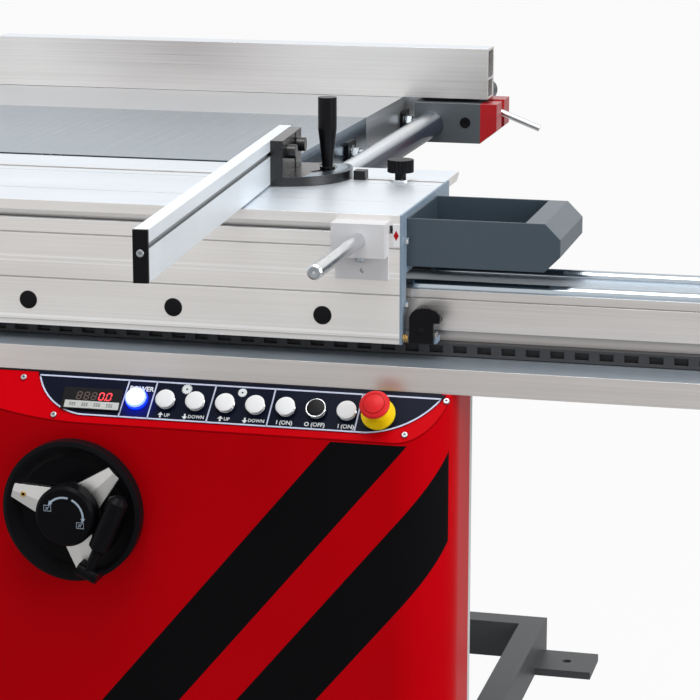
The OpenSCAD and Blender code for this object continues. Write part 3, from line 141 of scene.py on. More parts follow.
class SawFinishes(bpy.types.PropertyGroup):
    """Colours of the saw's finishes."""

    cover_red: colour("Cover red", "Gloss paint of the front cover", 200, 2, 15)
    stripe_black: colour("Stripe black", "Film stripes on the front cover", 17, 16, 18)
    cabinet_grey: colour("Cabinet grey", "Paint of the cabinet and its door", 214, 216, 217)
    frame_grey: colour("Frame grey", "Paint of the plinth and brackets", 66, 68, 71)
    panel_navy: colour("Panel navy", "Film of the control panel", 14, 19, 36)
    line_pale: colour("Line pale", "Border and dividers of the control panel", 200, 207, 232)
    mark_white: colour("Mark white", "Printed lines and signs", 226, 230, 236)
    # Tint of the upward faces of the profiles: a painted reflection of the bright sky
    profile_deck: colour("Profile deck", "Upper faces of the aluminium profiles", 227, 234, 241)
    profile_side: colour("Profile side", "Upright faces of the aluminium profiles", 244, 240, 237)
    rail_metal: colour("Rail metal", "Guide rail extrusion", 222, 217, 214)
    # Tint of the upward faces of the guide rail: painted shade under the carriage
    rail_deck: colour("Rail deck", "Upper faces of the guide rail", 172, 183, 193)
    rod_chrome: colour("Rod chrome", "Hardened rods on the guide rail", 180, 189, 197)
    fence_pale: colour("Fence pale", "Mitre fence extrusion", 238, 245, 252)
    table_metal: colour("Table metal", "Ground face of the cast table", 134, 151, 165)
    sheet_metal: colour("Sheet metal", "Extension tables", 190, 194, 198)
    chrome: colour("Chrome", "Rods, screws and collars", 222, 224, 227)
    steel: colour("Steel", "Shafts, spokes and the mitre gauge's shoe", 206, 205, 203)
    zinc: colour("Zinc", "Blades and plated screws, nuts and washers", 164, 170, 174)
    # Dark tint of the bar's sides and underside: painted shade
    bar_steel: colour("Bar steel", "Round bar of the rip fence", 50, 55, 68)
    strip_grey: colour("Strip grey", "Notched locking strip", 62, 62, 64)
    end_blue: colour("End plate blue", "End plates of the carriage", 136, 154, 172)
    tray_iron: colour("Tray iron", "Paint of the tool tray", 62, 76, 87)
    clamp_white: colour("Clamp white", "Block of the push handle", 222, 222, 225)
    plastic_black: colour("Plastic black", "Grips, knobs, plugs and caps", 15, 15, 18)
    carrier_grey: colour("Carrier grey", "Paint of the rip fence's carrier", 88, 94, 99)
    cap_red: colour("Cap red", "End of the rip fence's carrier", 178, 18, 26)
    flag_white: colour("Flag white", "Pointer plate at the carriage's end", 238, 238, 240)
    key_white: colour("Key white", "Caps of the push buttons", 236, 237, 238)
    stop_red: colour("Stop red", "Head of the emergency stop", 216, 40, 44)
    ring_red: colour("Ring red", "Ring on the emergency stop's crown", 168, 14, 18)
    stop_yellow: colour("Stop yellow", "Disc behind the emergency stop", 250, 208, 20)
    lamp_white: colour("Lamp white", "Lens of the power lamp", 232, 240, 255)
    lamp_blue: colour("Lamp blue", "Glow round the power lamp", 0, 24, 255)
    lamp_pale: colour("Lamp pale", "Sleeve of the power lamp", 120, 150, 255)
    digit_red: colour("Digit red", "Lit segments of the readout", 255, 60, 70)
    digit_dim: colour("Digit dim", "Unlit segments of the readout", 100, 84, 80)
    keypad_grey: colour("Keypad grey", "Strip of keys on the readout", 190, 192, 190)
    keypad_ink: colour("Keypad ink", "Print on the readout's keys", 84, 86, 88)
    hub_blue: colour("Hub blue", "Print on the handwheel's hub", 176, 194, 214)
    brass: colour("Brass", "Roller cage, latch spring and spoke bush", 196, 160, 96)
    motor_blue: colour("Motor blue", "Paint of the drive motor", 70, 100, 132)
    casting_grey: colour("Casting grey", "Castings of the saw unit", 104, 110, 114)


class SawDetails(bpy.types.PropertyGroup):
    """Sizes of markings and small fittings."""

    mark_height: length("Mark height", "How far printed marks stand up", 0.12)
    border_width: length("Border width", "Line round the control panel", 2.2)
    divider_width: length("Divider width", "Slanted lines on the control panel", 2.0)
    letter_height: length("Letter height", "Words under the push buttons", 5.9)
    screw_width: length("Screw width", "Heads of the cover screws", 8.5)
    stripe_width: length("Stripe width", "Width of a stripe, measured level", 103.7)
    stripe_lean: share("Stripe lean", "Level run of a stripe for each metre of height", 0.835)
    spring_width: length("Spring width", "Coil of the latch spring", 11)


class SawStage(bpy.types.PropertyGroup):
    """Camera and studio light."""

    camera_place: bpy.props.FloatVectorProperty(
        name="Camera place", description="Where the camera stands", subtype="XYZ", unit="LENGTH",
        default=(1.3355, -3.571, 1.4326))
    camera_aim: bpy.props.FloatVectorProperty(
        name="Camera aim", description="Direction of view", subtype="DIRECTION",
        default=(-0.237, 0.9449, -0.226))
    lens: bpy.props.FloatProperty(
        name="Lens", description="Focal length in millimetres", min=1, default=128.57)
    key_power: power("Key power", "Large soft lamp above", 158)
    fill_power: power("Fill power", "Soft lamp at the right", 88)
    sky: share("Sky", "Level light from all round", 0.36)
    floor_fall: share("Floor fall", "How much greyer the right of the floor is in metal", 0.42)
    floor_glow: share("Floor glow", "How white the floor is to the camera", 0.95)


# Shader maths


def both_ways(operation):
    """An operator and its reflected form, each of which adds one Math node."""
    return (lambda self, other: self.maths(operation, self, other),
            lambda self, other: self.maths(operation, other, self))


def feed(tree, node, inputs):
    """Gives a node's sockets values or links."""
    for name, value in inputs.items():
        if isinstance(value, Wire):
            tree.links.new(value.socket, node.inputs[name])
        else:
            node.inputs[name].default_value = value


class Wire:
    """A socket of a node tree. Arithmetic on it adds Math nodes."""

    __add__, __radd__ = both_ways("ADD")
    __sub__, __rsub__ = both_ways("SUBTRACT")
    __mul__, __rmul__ = both_ways("MULTIPLY")
    __truediv__, __rtruediv__ = both_ways("DIVIDE")
    __gt__ = both_ways("GREATER_THAN")[0]
    __lt__ = both_ways("LESS_THAN")[0]

    def __init__(self, tree, socket=None):
        self.tree = tree
        self.socket = socket

    def node(self, kind, settings=None, inputs=None, output=0):
        """Adds a node, sets it, then gives its sockets values or links, and returns one output."""
        made = self.tree.nodes.new(kind)
        for name, value in (settings or {}).items():
            setattr(made, name, value)
        feed(self.tree, made, inputs or {})
        return Wire(self.tree, made.outputs[output])

    def maths(self, operation, first, second=0.0, clamp=False):
        settings = {"operation": operation, "use_clamp": clamp}
        return self.node("ShaderNodeMath", settings, {0: first, 1: second})

    def mix(self, low, high):
        """Colour between low and high, by this value."""
        return self.node("ShaderNodeMix", {"data_type": "RGBA"}, {0: self, 6: low, 7: high}, 2)

    def shade(self, tint, dark, light):
        """Colour between two levels of a tint, by this value."""
        return self.mix(rgba(tint, dark), rgba(tint, light))

    def part(self, axis):
        """One coordinate of this vector."""
        return self.node("ShaderNodeSeparateXYZ", None, {0: self}, axis)


def rgba(tint, level=1.0):
    return tuple(min(1.0, c * level) for c in tint) + (1.0,)


def place_of(wire):
    return wire.node("ShaderNodeTexCoord", output="Object")


def normal_of(wire):
    return wire.node("ShaderNodeNewGeometry", output="Normal")


def noise(wire, scale, detail=3.0, rough=0.6):
    """Noise over the part's own places, with one scale or one for each axis."""
    scales = scale if isinstance(scale, tuple) else (scale,) * 3
    stretched = wire.node("ShaderNodeMapping", None, {"Vector": place_of(wire), "Scale": scales})
    inputs = {"Vector": stretched, "Scale": 1.0, "Detail": detail, "Roughness": rough}
    return wire.node("ShaderNodeTexNoise", None, inputs)


def soft_normal(wire, radius):
    return wire.node("ShaderNodeBevel", {"samples": 4}, {"Radius": radius})


def edge_of(wire, soft):
    """Near 1 on sharp edges and 0 on flat faces."""
    inputs = {0: soft, 1: normal_of(wire)}
    same = wire.node("ShaderNodeVectorMath", {"operation": "DOT_PRODUCT"}, inputs, "Value")
    return wire.maths("MULTIPLY", 1.0 - same, 4.0, True)


def bumped(wire, soft, height, depth):
    inputs = {"Strength": 1.0, "Distance": depth, "Height": height, "Normal": soft}
    return wire.node("ShaderNodeBump", None, inputs)


def opened(wire, reach):
    """1 on open faces, less in the seams and corners of one piece; used to paint shade into a colour."""
    settings = {"samples": 6, "only_local": True}
    share_open = wire.node("ShaderNodeAmbientOcclusion", settings, {"Distance": reach}, "AO")
    return share_open * share_open


def upward(wire):
    """1 on faces that look up, 0 on upright ones."""
    return wire.maths("MAXIMUM", normal_of(wire).part("Z"), 0.0, True)


def above_panel(place):
    """Height of a place over the plane of the sloped panel."""
    out, up = place.part("Y") - COVER_LOW.y, place.part("Z") - (COVER_HIGH.z - PANEL_DROP)
    return (out * -PANEL_DROP + up * PANEL_RUN) / PANEL_LENGTH


# Recipes of the finishes, which give the shader's sockets values or wires


def metal(wire, tint, top=None, rough=0.32, grain=(1.5, 420, 420), spread=0.22, depth=0.00002, seam=0.0,
          polish=1.0, bright_rows=()):
    """Drawn, ground or brushed metal, with its grain along the axis that is scaled least. Upward faces,
    bands and seams may carry painted reflection, highlight and shade, and edges are lighter from wear and a
    painted highlight.
    """
    fine = noise(wire, grain, 5.0, 0.7)
    cloud = noise(wire, (2.2, 7.0, 7.0), 2.0)
    soft = soft_normal(wire, 0.0008)
    tone = wire.maths("ADD", (fine - 0.5) * 0.9, cloud, True)
    base = tone.shade(tint, 1 - spread, 1 + spread * 0.55)
    # Upward faces take a second tint: painted sky reflection on the profiles, painted shade on the rail
    if top is not None:
        base = upward(wire).mix(base, tone.shade(top, 1 - spread * 0.6, 1 + spread * 0.4))
    # Painted highlight: lighter bands at the given heights
    for low, high in bright_rows:
        height = place_of(wire).part("Z")
        base = ((height > low) * (height < high) * 0.7).mix(base, rgba(tint, 1.3))
    # Painted shade: darker in the seams, slots and corners of the piece
    if seam:
        base = opened(wire, seam).mix(rgba(tint, 0.2), base)
    # Edges lighter: wear and a painted highlight
    worn = edge_of(wire, soft) * 0.5
    return {
        "Base Color": worn.mix(base, rgba(tint, 1.5)),
        "Metallic": polish,
        "Roughness": rough + (fine - 0.5) * 0.25 + (cloud - 0.5) * 0.08,
        "Normal": bumped(wire, soft, fine, depth),
    }


def paint(wire, tint, rough=0.42, peel=0.00003, peel_scale=900.0, gloss=0.3, edge=0.0012):
    """Sprayed paint with a slight peel, lighter along its edges from rub wear and a painted highlight."""
    peeled = noise(wire, peel_scale, 2.0)
    cloud = noise(wire, 5.0, 4.0)
    soft = soft_normal(wire, edge)
    # Edges lighter: rub wear and a painted highlight
    rub = edge_of(wire, soft) * (0.25 + cloud * 0.3)
    return {
        "Base Color": rub.mix(cloud.shade(tint, 0.88, 1.12), rgba(tint, 1.6)),
        "Roughness": rough + (peeled - 0.5) * 0.1 + (cloud - 0.5) * 0.08,
        "Specular IOR Level": gloss,
        "Normal": bumped(wire, soft, peeled, peel),
    }


def moulded(wire, tint, rough=0.38, grain=0.00004, gloss=0.12):
    """Moulded plastic with a fine spark texture, lighter along its edges from wear and a painted highlight.
    """
    sparks = noise(wire, 1400.0)
    soft = soft_normal(wire, 0.001)
    # Edges lighter: wear and a painted highlight
    worn = edge_of(wire, soft) * 0.35
    return {
        "Base Color": worn.mix(noise(wire, 40.0).shade(tint, 0.8, 1.25), rgba(tint, 2.6)),
        "Roughness": rough + (sparks - 0.5) * 0.18,
        "Specular IOR Level": gloss,
        "Normal": bumped(wire, soft, sparks, grain),
    }


def cast(wire, tint):
    """Sand casting under thin paint."""
    sand = noise(wire, 260.0, 5.0, 0.7)
    return {
        "Base Color": sand.shade(tint, 0.75, 1.2),
        "Metallic": 0.3,
        "Roughness": 0.55 + (sand - 0.5) * 0.3,
        "Normal": bumped(wire, soft_normal(wire, 0.0015), sand, 0.0003),
    }


def glowing(wire, tint, strength, core=0.6):
    """Lit lens or segment, brighter in its cloud of light."""
    cloud = noise(wire, 120.0, 2.0)
    return {
        "Base Color": cloud.shade(tint, 0.7, 1.0),
        "Roughness": 0.25,
        "Emission Color": cloud.shade(tint, core, 1.0),
        "Emission Strength": strength,
    }


def capped_key(wire, tint, chrome):
    """Moulded cap on a chromed neck."""
    neck = above_panel(place_of(wire)) < LABEL_HEIGHT + KEY_CAP_FOOT - 0.1 * MM
    sparks = noise(wire, 1400.0)
    return {
        "Base Color": neck.mix(sparks.shade(tint, 0.88, 1.08), rgba(chrome)),
        "Metallic": neck,
        "Roughness": 0.36 - neck * 0.26 + (sparks - 0.5) * 0.12,
        "Specular IOR Level": 0.12,
        "Normal": bumped(wire, soft_normal(wire, 0.0006), sparks, 0.00002),
    }


def lit_film(wire, look):
    """Dark film of the control panel, with a painted glow of the power lamp round the lamp."""
    lamp = on_panel(KEY_FIRST + LAMP_SPOT[0], LAMP_SPOT[1] - KEY_ROW, LABEL_HEIGHT).translation
    inputs = {0: place_of(wire), 1: lamp}
    away = wire.node("ShaderNodeVectorMath", {"operation": "DISTANCE"}, inputs, "Value")
    near = wire.maths("SUBTRACT", 1.0, away / LAMP_REACH, True)
    return {
        **moulded(wire, look.panel_navy, rough=0.24, grain=0.00001, gloss=0.05),
        # Painted glow: the film itself glows blue near the power lamp
        "Emission Color": (near * near).mix(GLOW_BLACK, rgba(look.lamp_blue, 0.45)),
        "Emission Strength": 1.0,
    }


def striped_cover(wire, look, sizes):
    """Gloss red paint with two leaning black stripes of film, a band of painted shade just under the fold,
    and edges lighter from rub wear and a painted highlight.
    """
    flat_end = COVER_HIGH.x - COVER_CORNER
    place = place_of(wire)
    x, z = place.part("X"), place.part("Z")
    round_share = wire.maths("MAXIMUM", (x - flat_end) / COVER_CORNER, 0.0, True)
    along = wire.maths("MINIMUM", x, flat_end) + wire.maths("ARCSINE", round_share) * COVER_CORNER
    lean = along - z * sizes.stripe_lean
    first, second = ((lean > start) * (lean < start + sizes.stripe_width) for start in STRIPE_STARTS)
    front = (normal_of(wire).part("Z") < 0.3) * (place.part("Y") < COVER_FRONT)
    film = (first + second) * (z < STRIPE_TOP) * (along < STRIPE_END) * front
    # Painted shade: a dark band on the front just under the fold
    crease = (above_panel(place) > -CREASE) * front * 0.55
    cloud = noise(wire, 3.0)
    peel = noise(wire, 420.0, 2.0)
    soft = soft_normal(wire, 0.002)
    coat = film.mix(cloud.shade(look.cover_red, 0.86, 1.12), cloud.shade(look.stripe_black, 0.7, 1.3))
    # Painted highlight and rub wear: edges lighter, but not on the film
    rub = edge_of(wire, soft) * (1.0 - film) * 0.3
    rubbed = rub.mix(coat, rgba(look.cover_red, 1.5))
    return {
        "Base Color": crease.mix(rubbed, rgba(look.cover_red, 0.2)),
        "Roughness": 0.26 + film * 0.2 + (peel - 0.5) * 0.06,
        "Specular IOR Level": 0.02,
        "Normal": bumped(wire, soft, peel + film * 0.5, 0.00005),
    }


def two_finishes(wire, axis, border, under, over, grain, cloud=None, detail=4.0, swing=0.15, depth=0.00002,
                 edge=0.001, rub=0.0, gloss=0.5):
    """One finish up to a border, another past it: each a tint, two levels, its metal and its roughness."""
    past = place_of(wire).part(axis) > border
    fine = noise(wire, grain, detail)
    tone = noise(wire, cloud) if cloud else fine
    soft = soft_normal(wire, edge)
    base = past.mix(tone.shade(*under[:3]), tone.shade(*over[:3]))
    # Edges lighter when asked: rub wear and a painted highlight
    if rub:
        base = (edge_of(wire, soft) * rub).mix(base, (0.6, 0.6, 0.6, 1.0))
    return {
        "Base Color": base,
        "Metallic": under[3] + past * (over[3] - under[3]),
        "Roughness": under[4] + past * (over[4] - under[4]) + (fine - 0.5) * swing,
        "Specular IOR Level": gloss,
        "Normal": bumped(wire, soft, fine, depth),
    }


def blued_bar(wire, look):
    """Round steel bar with a painted highlight along its top and painted shade on its sides."""
    fine = noise(wire, (160.0, 2.0, 160.0), 4.0)
    # Painted highlight along the top, painted shade on the sides
    rubbed = wire.maths("MULTIPLY", upward(wire) - 0.55 + (fine - 0.5) * 0.15, 2.6, True)
    return {
        "Base Color": rubbed.mix(fine.shade(look.bar_steel, 0.7, 1.3), rgba(look.profile_deck)),
        "Metallic": rubbed,
        "Roughness": 0.2 + (fine - 0.5) * 0.12,
        "Specular IOR Level": 0.04,
        "Normal": bumped(wire, soft_normal(wire, 0.0008), fine, 0.00001),
    }


def finish(name, recipe, *values, **options):
    """A material made by a recipe."""
    material = bpy.data.materials.new(name)
    material.use_nodes = True
    tree = material.node_tree
    feed(tree, tree.nodes["Principled BSDF"], recipe(Wire(tree), *values, **options))
    return material


def skin(slot, name, recipe, *values, **options):
    """A slot name of the record, paired with the material that a new piece gets."""
    return slot, finish(name, recipe, *values, **options)


def dress(nodes, name, recipe, *values, **options):
    """Gives the CAD nodes that are named in a row of words a finish of their own."""
    material = finish(name, recipe, *values, **options)
    for node in nodes.split():
        NODES[node].data.materials.clear()
        NODES[node].data.materials.append(material)
    return material


# Mesh tools


def frame_from(first, second, origin):
    first, second = Vector(first).normalized(), Vector(second).normalized()
    axes = Matrix((first, second, first.cross(second))).transposed()
    return Matrix.Translation(origin) @ axes.to_4x4()


def on_panel(x=0, y=0, z=0):
    """Frame at a place on the sloped panel: X along it, Y up the slope from the top edge, Z out of it."""
    origin = (0, COVER_LOW.y + PANEL_RUN, COVER_HIGH.z)
    return frame_from((1, 0, 0), (0, PANEL_RUN, PANEL_DROP), origin) @ Matrix.Translation((x, y, z))


def key_x(number):
    """How far along the panel a place in its row is: the lamp is 0 and the buttons follow."""
    return KEY_FIRST + number * KEY_PITCH


def on_key(number):
    """Frame on the label at a place in the panel's row."""
    return on_panel(key_x(number), -KEY_ROW, LABEL_HEIGHT)


def facing_front(x, y, z):
    """Frame on an upright face that looks at the operator: X right, Y up, Z out."""
    return frame_from((1, 0, 0), (0, 0, 1), (x, y, z))


def facing_infeed(x, y, z):
    """Frame on an upright face that looks at the infeed end: X back, Y up, Z out."""
    return frame_from((0, 1, 0), (0, 0, 1), (x, y, z))


def in_mm(points):
    return [(u * MM, v * MM) for u, v in points]


def link(name, data):
    """A new object in the scene."""
    made = bpy.data.objects.new(name, data)
    bpy.context.scene.collection.objects.link(made)
    return made


def settle(mesh, name, body, slot_and_material):
    """Makes a piece of a mesh, and lets it ride on its body."""
    slot, material = slot_and_material
    piece = link(name, mesh)
    mesh.materials.append(material)
    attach(piece, body)
    return piece


def closed_mesh(made, name):
    """Mesh of a closed form, with its faces looking out."""
    bmesh.ops.recalc_face_normals(made, faces=made.faces)
    mesh = bpy.data.meshes.new(name)
    made.to_mesh(mesh)
    made.free()
    return mesh


def mesh_of(curve, name):
    """Mesh of a curve or of words."""
    holder = link(curve.name, curve)
    bpy.context.view_layer.update()
    shown = holder.evaluated_get(bpy.context.evaluated_depsgraph_get())
    mesh = bpy.data.meshes.new_from_object(shown)
    bpy.data.objects.remove(holder)
    bpy.data.curves.remove(curve)
    mesh.name = name
    mesh.materials.clear()
    return mesh


def bridge(made, rings):
    """Faces from each ring of points to the next. A ring of one point is a tip."""
    for low, high in zip(rings, rings[1:]):
        steps = max(len(low), len(high))
        for i in range(steps):
            j = (i + 1) % steps
            corners = (low[i % len(low)], low[j % len(low)], high[j % len(high)], high[i % len(high)])
            unique = list(dict.fromkeys(corners))
            if len(unique) > 2:
                made.faces.new(unique)


def spun(made, where, profile, steps):
    """A ring of points for each radius and height. A radius may follow the angle, and 0 gives a tip."""
    rings = []
    for radius, height in profile:
        angles = [2 * math.pi * i / steps for i in range(steps if radius else 1)]
        reaches = [(radius(a) if callable(radius) else radius, a) for a in angles]
        points = [Vector((r * math.cos(a), r * math.sin(a), height)) for r, a in reaches]
        rings.append([made.verts.new(where @ point) for point in points])
    bridge(made, rings)
    return rings


def turned(name, profile, where, body, slot_and_material, steps=32, smooth=True):
    """Turned piece: a profile of radius and height in millimetres, spun about the frame's Z axis."""
    made = bmesh.new()
    spun(made, where, in_mm(profile), steps)
    mesh = closed_mesh(made, name)
    if smooth:
        mesh.shade_smooth()
        mesh.set_sharp_from_angle(angle=math.radians(35))
    return settle(mesh, name, body, slot_and_material)


def socket_screw(name, where, width, rise, body, slot_and_material, key_share=0.5):
    """Screw head with a rounded rim and a six-sided socket."""
    radius, side = width / 2, math.pi / 3
    key, bevel, deep = radius * key_share, min(rise, radius) * 0.35, rise * 0.6

    def six(angle):
        return key * math.cos(side / 2) / math.cos(angle % side - side / 2)

    profile = (
        (radius, 0.0), (radius, rise - bevel), (radius - bevel * 0.3, rise - bevel * 0.3),
        (radius - bevel, rise), (six, rise), (six, rise - deep))
    made = bmesh.new()
    rings = spun(made, where, profile, 36)
    made.faces.new(rings[-1])
    made.faces.new(rings[0][::-1])
    return settle(closed_mesh(made, name), name, body, slot_and_material)


def flat_marks(name, loops, where, height, body, slot_and_material):
    """Thin raised marks: each loop of points on a plane becomes a small plate."""
    made = bmesh.new()
    for loop in loops:
        low, high = (
            [made.verts.new(where @ Vector((u, v, z))) for u, v in loop] for z in (-height / 2, height))
        made.faces.new(high)
        bridge(made, (low, high))
        made.faces.new(low[::-1])
    return settle(closed_mesh(made, name), name, body, slot_and_material)


def lettering(name, words, height, where, lift, body, slot_and_material):
    """Words as a thin raised mesh, centred on the frame's origin."""
    text = bpy.data.curves.new(name + "_text", "FONT")
    text.body = words
    text.size = height / 0.72
    text.align_x = "CENTER"
    text.align_y = "CENTER"
    text.extrude = lift
    text.offset = height * 0.035
    text.resolution_u = 3
    mesh = mesh_of(text, name)
    mesh.transform(where)
    return settle(mesh, name, body, slot_and_material)


def strokes(points, width, closed=False):
    """Quads along a line of points, as loops for flat_marks."""
    count = len(points)
    sides = []
    for i, point in enumerate(points):
        before = points[i - 1] if i or closed else point
        after = points[(i + 1) % count] if i < count - 1 or closed else point
        run = Vector((after[0] - before[0], after[1] - before[1])).normalized()
        across = Vector((-run.y, run.x)) * width / 2
        here = Vector(point)
        sides.append((tuple(here + across), tuple(here - across)))
    ends = sides[1:] + sides[:1] if closed else sides[1:]
    return [[near[1], far[1], far[0], near[0]] for near, far in zip(sides, ends)]


def arc(centre, radius, start, end, steps):
    """Points on an arc, angles in degrees."""
    turns = [math.radians(start + (end - start) * i / steps) for i in range(steps + 1)]
    return [(centre[0] + radius * math.cos(a), centre[1] + radius * math.sin(a)) for a in turns]


def rounded(wide, tall, radius):
    """Outline of a rectangle with round corners, centred."""
    u, v = wide / 2 - radius, tall / 2 - radius
    corners = ((u, v, 0), (-u, v, 90), (-u, -v, 180), (u, -v, 270))
    return [point for x, y, a in corners for point in arc((x, y), radius, a, a + 90, 6)]


def label_outline(inset):
    """Points round the control panel's label, set in from its edge."""
    top, foot = -LABEL_ROWS[0] - inset, inset - LABEL_ROWS[1]
    points = []
    for x, y, radius, side in LABEL_ENDS:
        reach = radius - inset
        start, end = (math.degrees(math.asin((row - y) / reach)) for row in (top, foot))
        run = [(x + side * (u - x), v) for u, v in arc((x, y), reach, start, end, 24)]
        points += run if side < 0 else run[::-1]
    return points


# Pieces


class SAW_OT_profiles(bpy.types.Operator):
    """Finishes the aluminium profiles, the tables and the bright rods"""

    bl_idname = "saw.profiles"
    bl_label = "Profiles and tables"

    # Height bands of painted highlight along the carriage's faces, in metres
    bright_rows = ((774 * MM, 776 * MM), (780.5 * MM, 783 * MM), (696 * MM, 700 * MM))

    def execute(self, context):
        look = context.scene.saw_finishes
        dress("carriage", "drawn_profile", metal, look.profile_side, look.profile_deck, rough=0.4, seam=0.01,
              polish=0.72, bright_rows=self.bright_rows)
        dress("rail_beam", "drawn_rail", metal, look.rail_metal, look.rail_deck, rough=0.36, spread=0.26,
              seam=0.012, polish=0.75)
        dress("mitre_fence", "fence_profile", metal, look.fence_pale, rough=0.42, grain=(420, 1.5, 420),
              spread=0.08, seam=0.012, polish=0.4)
        dress("rip_fence", "rip_profile", metal, look.profile_side, look.profile_deck)
        dress("main_table", "ground_table", metal, look.table_metal, rough=0.24, grain=(300, 1.2, 300),
              spread=0.16)
        struts, sheet = (look.frame_grey, 0.85, 1.15, 0.0, 0.42), (look.sheet_metal, 0.9, 1.08, 0.8, 0.34)
        dress("extension_tables", "table_sheet", two_finishes, "Z", SHEET_FOOT, struts, sheet,
              (300.0, 1.5, 300.0))
        dress("fence_lever end_screws slot_bolt", "hard_chrome", metal, look.chrome, rough=0.1, grain=90,
              spread=0.08, depth=0.000004)
        dress("guide_rods", "rod_chrome", metal, look.rod_chrome, rough=0.14, grain=(2, 90, 90), spread=0.1)
        dress("fence_bar", "bar_steel", blued_bar, look)
        dress("handle_bar", "rod_satin", metal, look.chrome, rough=0.22, grain=(260, 40, 260), spread=0.3)
        return {"FINISHED"}


class SAW_OT_cabinet(bpy.types.Operator):
    """Paints the plinth, the cabinet, its door and the tray"""

    bl_idname = "saw.cabinet"
    bl_label = "Cabinet and tray"

    plug_pitch = 210 * MM
    cap_over = 1.7 * MM
    # Rise past the plug, and the two steps of the rounded rim, in millimetres
    cap_rise, cap_flat, cap_round = 0.4, 2.4, 0.8

    def execute(self, context):
        look = context.scene.saw_finishes
        dress("cabinet service_door", "cabinet_coat", paint, look.cabinet_grey)
        dress("base_frame rail_brackets", "frame_coat", paint, look.frame_grey)
        dress("tool_tray", "tray_coat", paint, look.tray_iron, rough=0.36, peel=0.00006, peel_scale=500,
              gloss=0.55, edge=0.002)
        dress("end_plates", "end_coat", paint, look.end_blue, rough=0.45)
        dress("handle_clamp", "clamp_coat", paint, look.clamp_white, rough=0.4)
        dress("dust_port carriage_plugs fence_caps slot_knob", "black_fittings", moulded, look.plastic_black)
        dress("lock_strip", "strip_coat", paint, look.strip_grey, rough=0.5, edge=0.0016)
        self.plug_caps(look)
        return {"FINISHED"}

    def plug_caps(self, look):
        """Flat cap with a rounded rim over each plug of the skirt."""
        black = skin("black_plastic", "plug_caps", moulded, look.plastic_black, rough=0.42)
        low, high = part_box("carriage_plugs")
        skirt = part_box("carriage")[0].y
        radius = (high.z - low.z) / 2
        rim, rise = (radius + self.cap_over) / MM, (skirt - low.y) / MM + self.cap_rise
        profile = ((0, rise), (rim - self.cap_flat, rise), (rim - self.cap_round, rise * 0.8),
                   (rim, rise * 0.3), (rim, 0), (0, 0))
        for i in range(round((high.x - low.x - 2 * radius) / self.plug_pitch) + 1):
            where = facing_front(low.x + radius + i * self.plug_pitch, skirt, (low.z + high.z) / 2)
            turned(f"plug_cap_{i}", profile, where, "sliding_carriage", black, 40)


class SAW_OT_cover(bpy.types.Operator):
    """Paints the front cover with its stripes, adds a dark strip along its top edge as painted shadow of the
    gap under the rail, and adds its screws
    """

    bl_idname = "saw.cover"
    bl_label = "Front cover"

    # A dark strip along the panel's top edge: painted shadow of the gap under the rail
    seal_line = ((-70, -1.4), (674, -1.4))
    seal_width, seal_rise = 2.6 * MM, 0.6 * MM
    screws = ((89.8, -13), (145, -66.5), (633.5, -63), (682, -10.5))
    screw_rise = 2.6 * MM

    def execute(self, context):
        look, sizes = context.scene.saw_finishes, context.scene.saw_details
        dress("front_cover", "cover_gloss", striped_cover, look, sizes)
        zinc = skin("hard_chrome", "zinc_screws", metal, look.zinc, rough=0.3, grain=120, seam=0.003)
        rubber = skin("black_plastic", "cover_seal", moulded, look.plastic_black, rough=0.6)
        seal = strokes(in_mm(self.seal_line), self.seal_width)
        flat_marks("cover_seal", seal, on_panel(), self.seal_rise, "machine", rubber)
        for i, (x, y) in enumerate(in_mm(self.screws)):
            width, rise = sizes.screw_width, self.screw_rise
            socket_screw(f"cover_screw_{i}", on_panel(x, y), width, rise, "machine", zinc, 0.45)
        return {"FINISHED"}


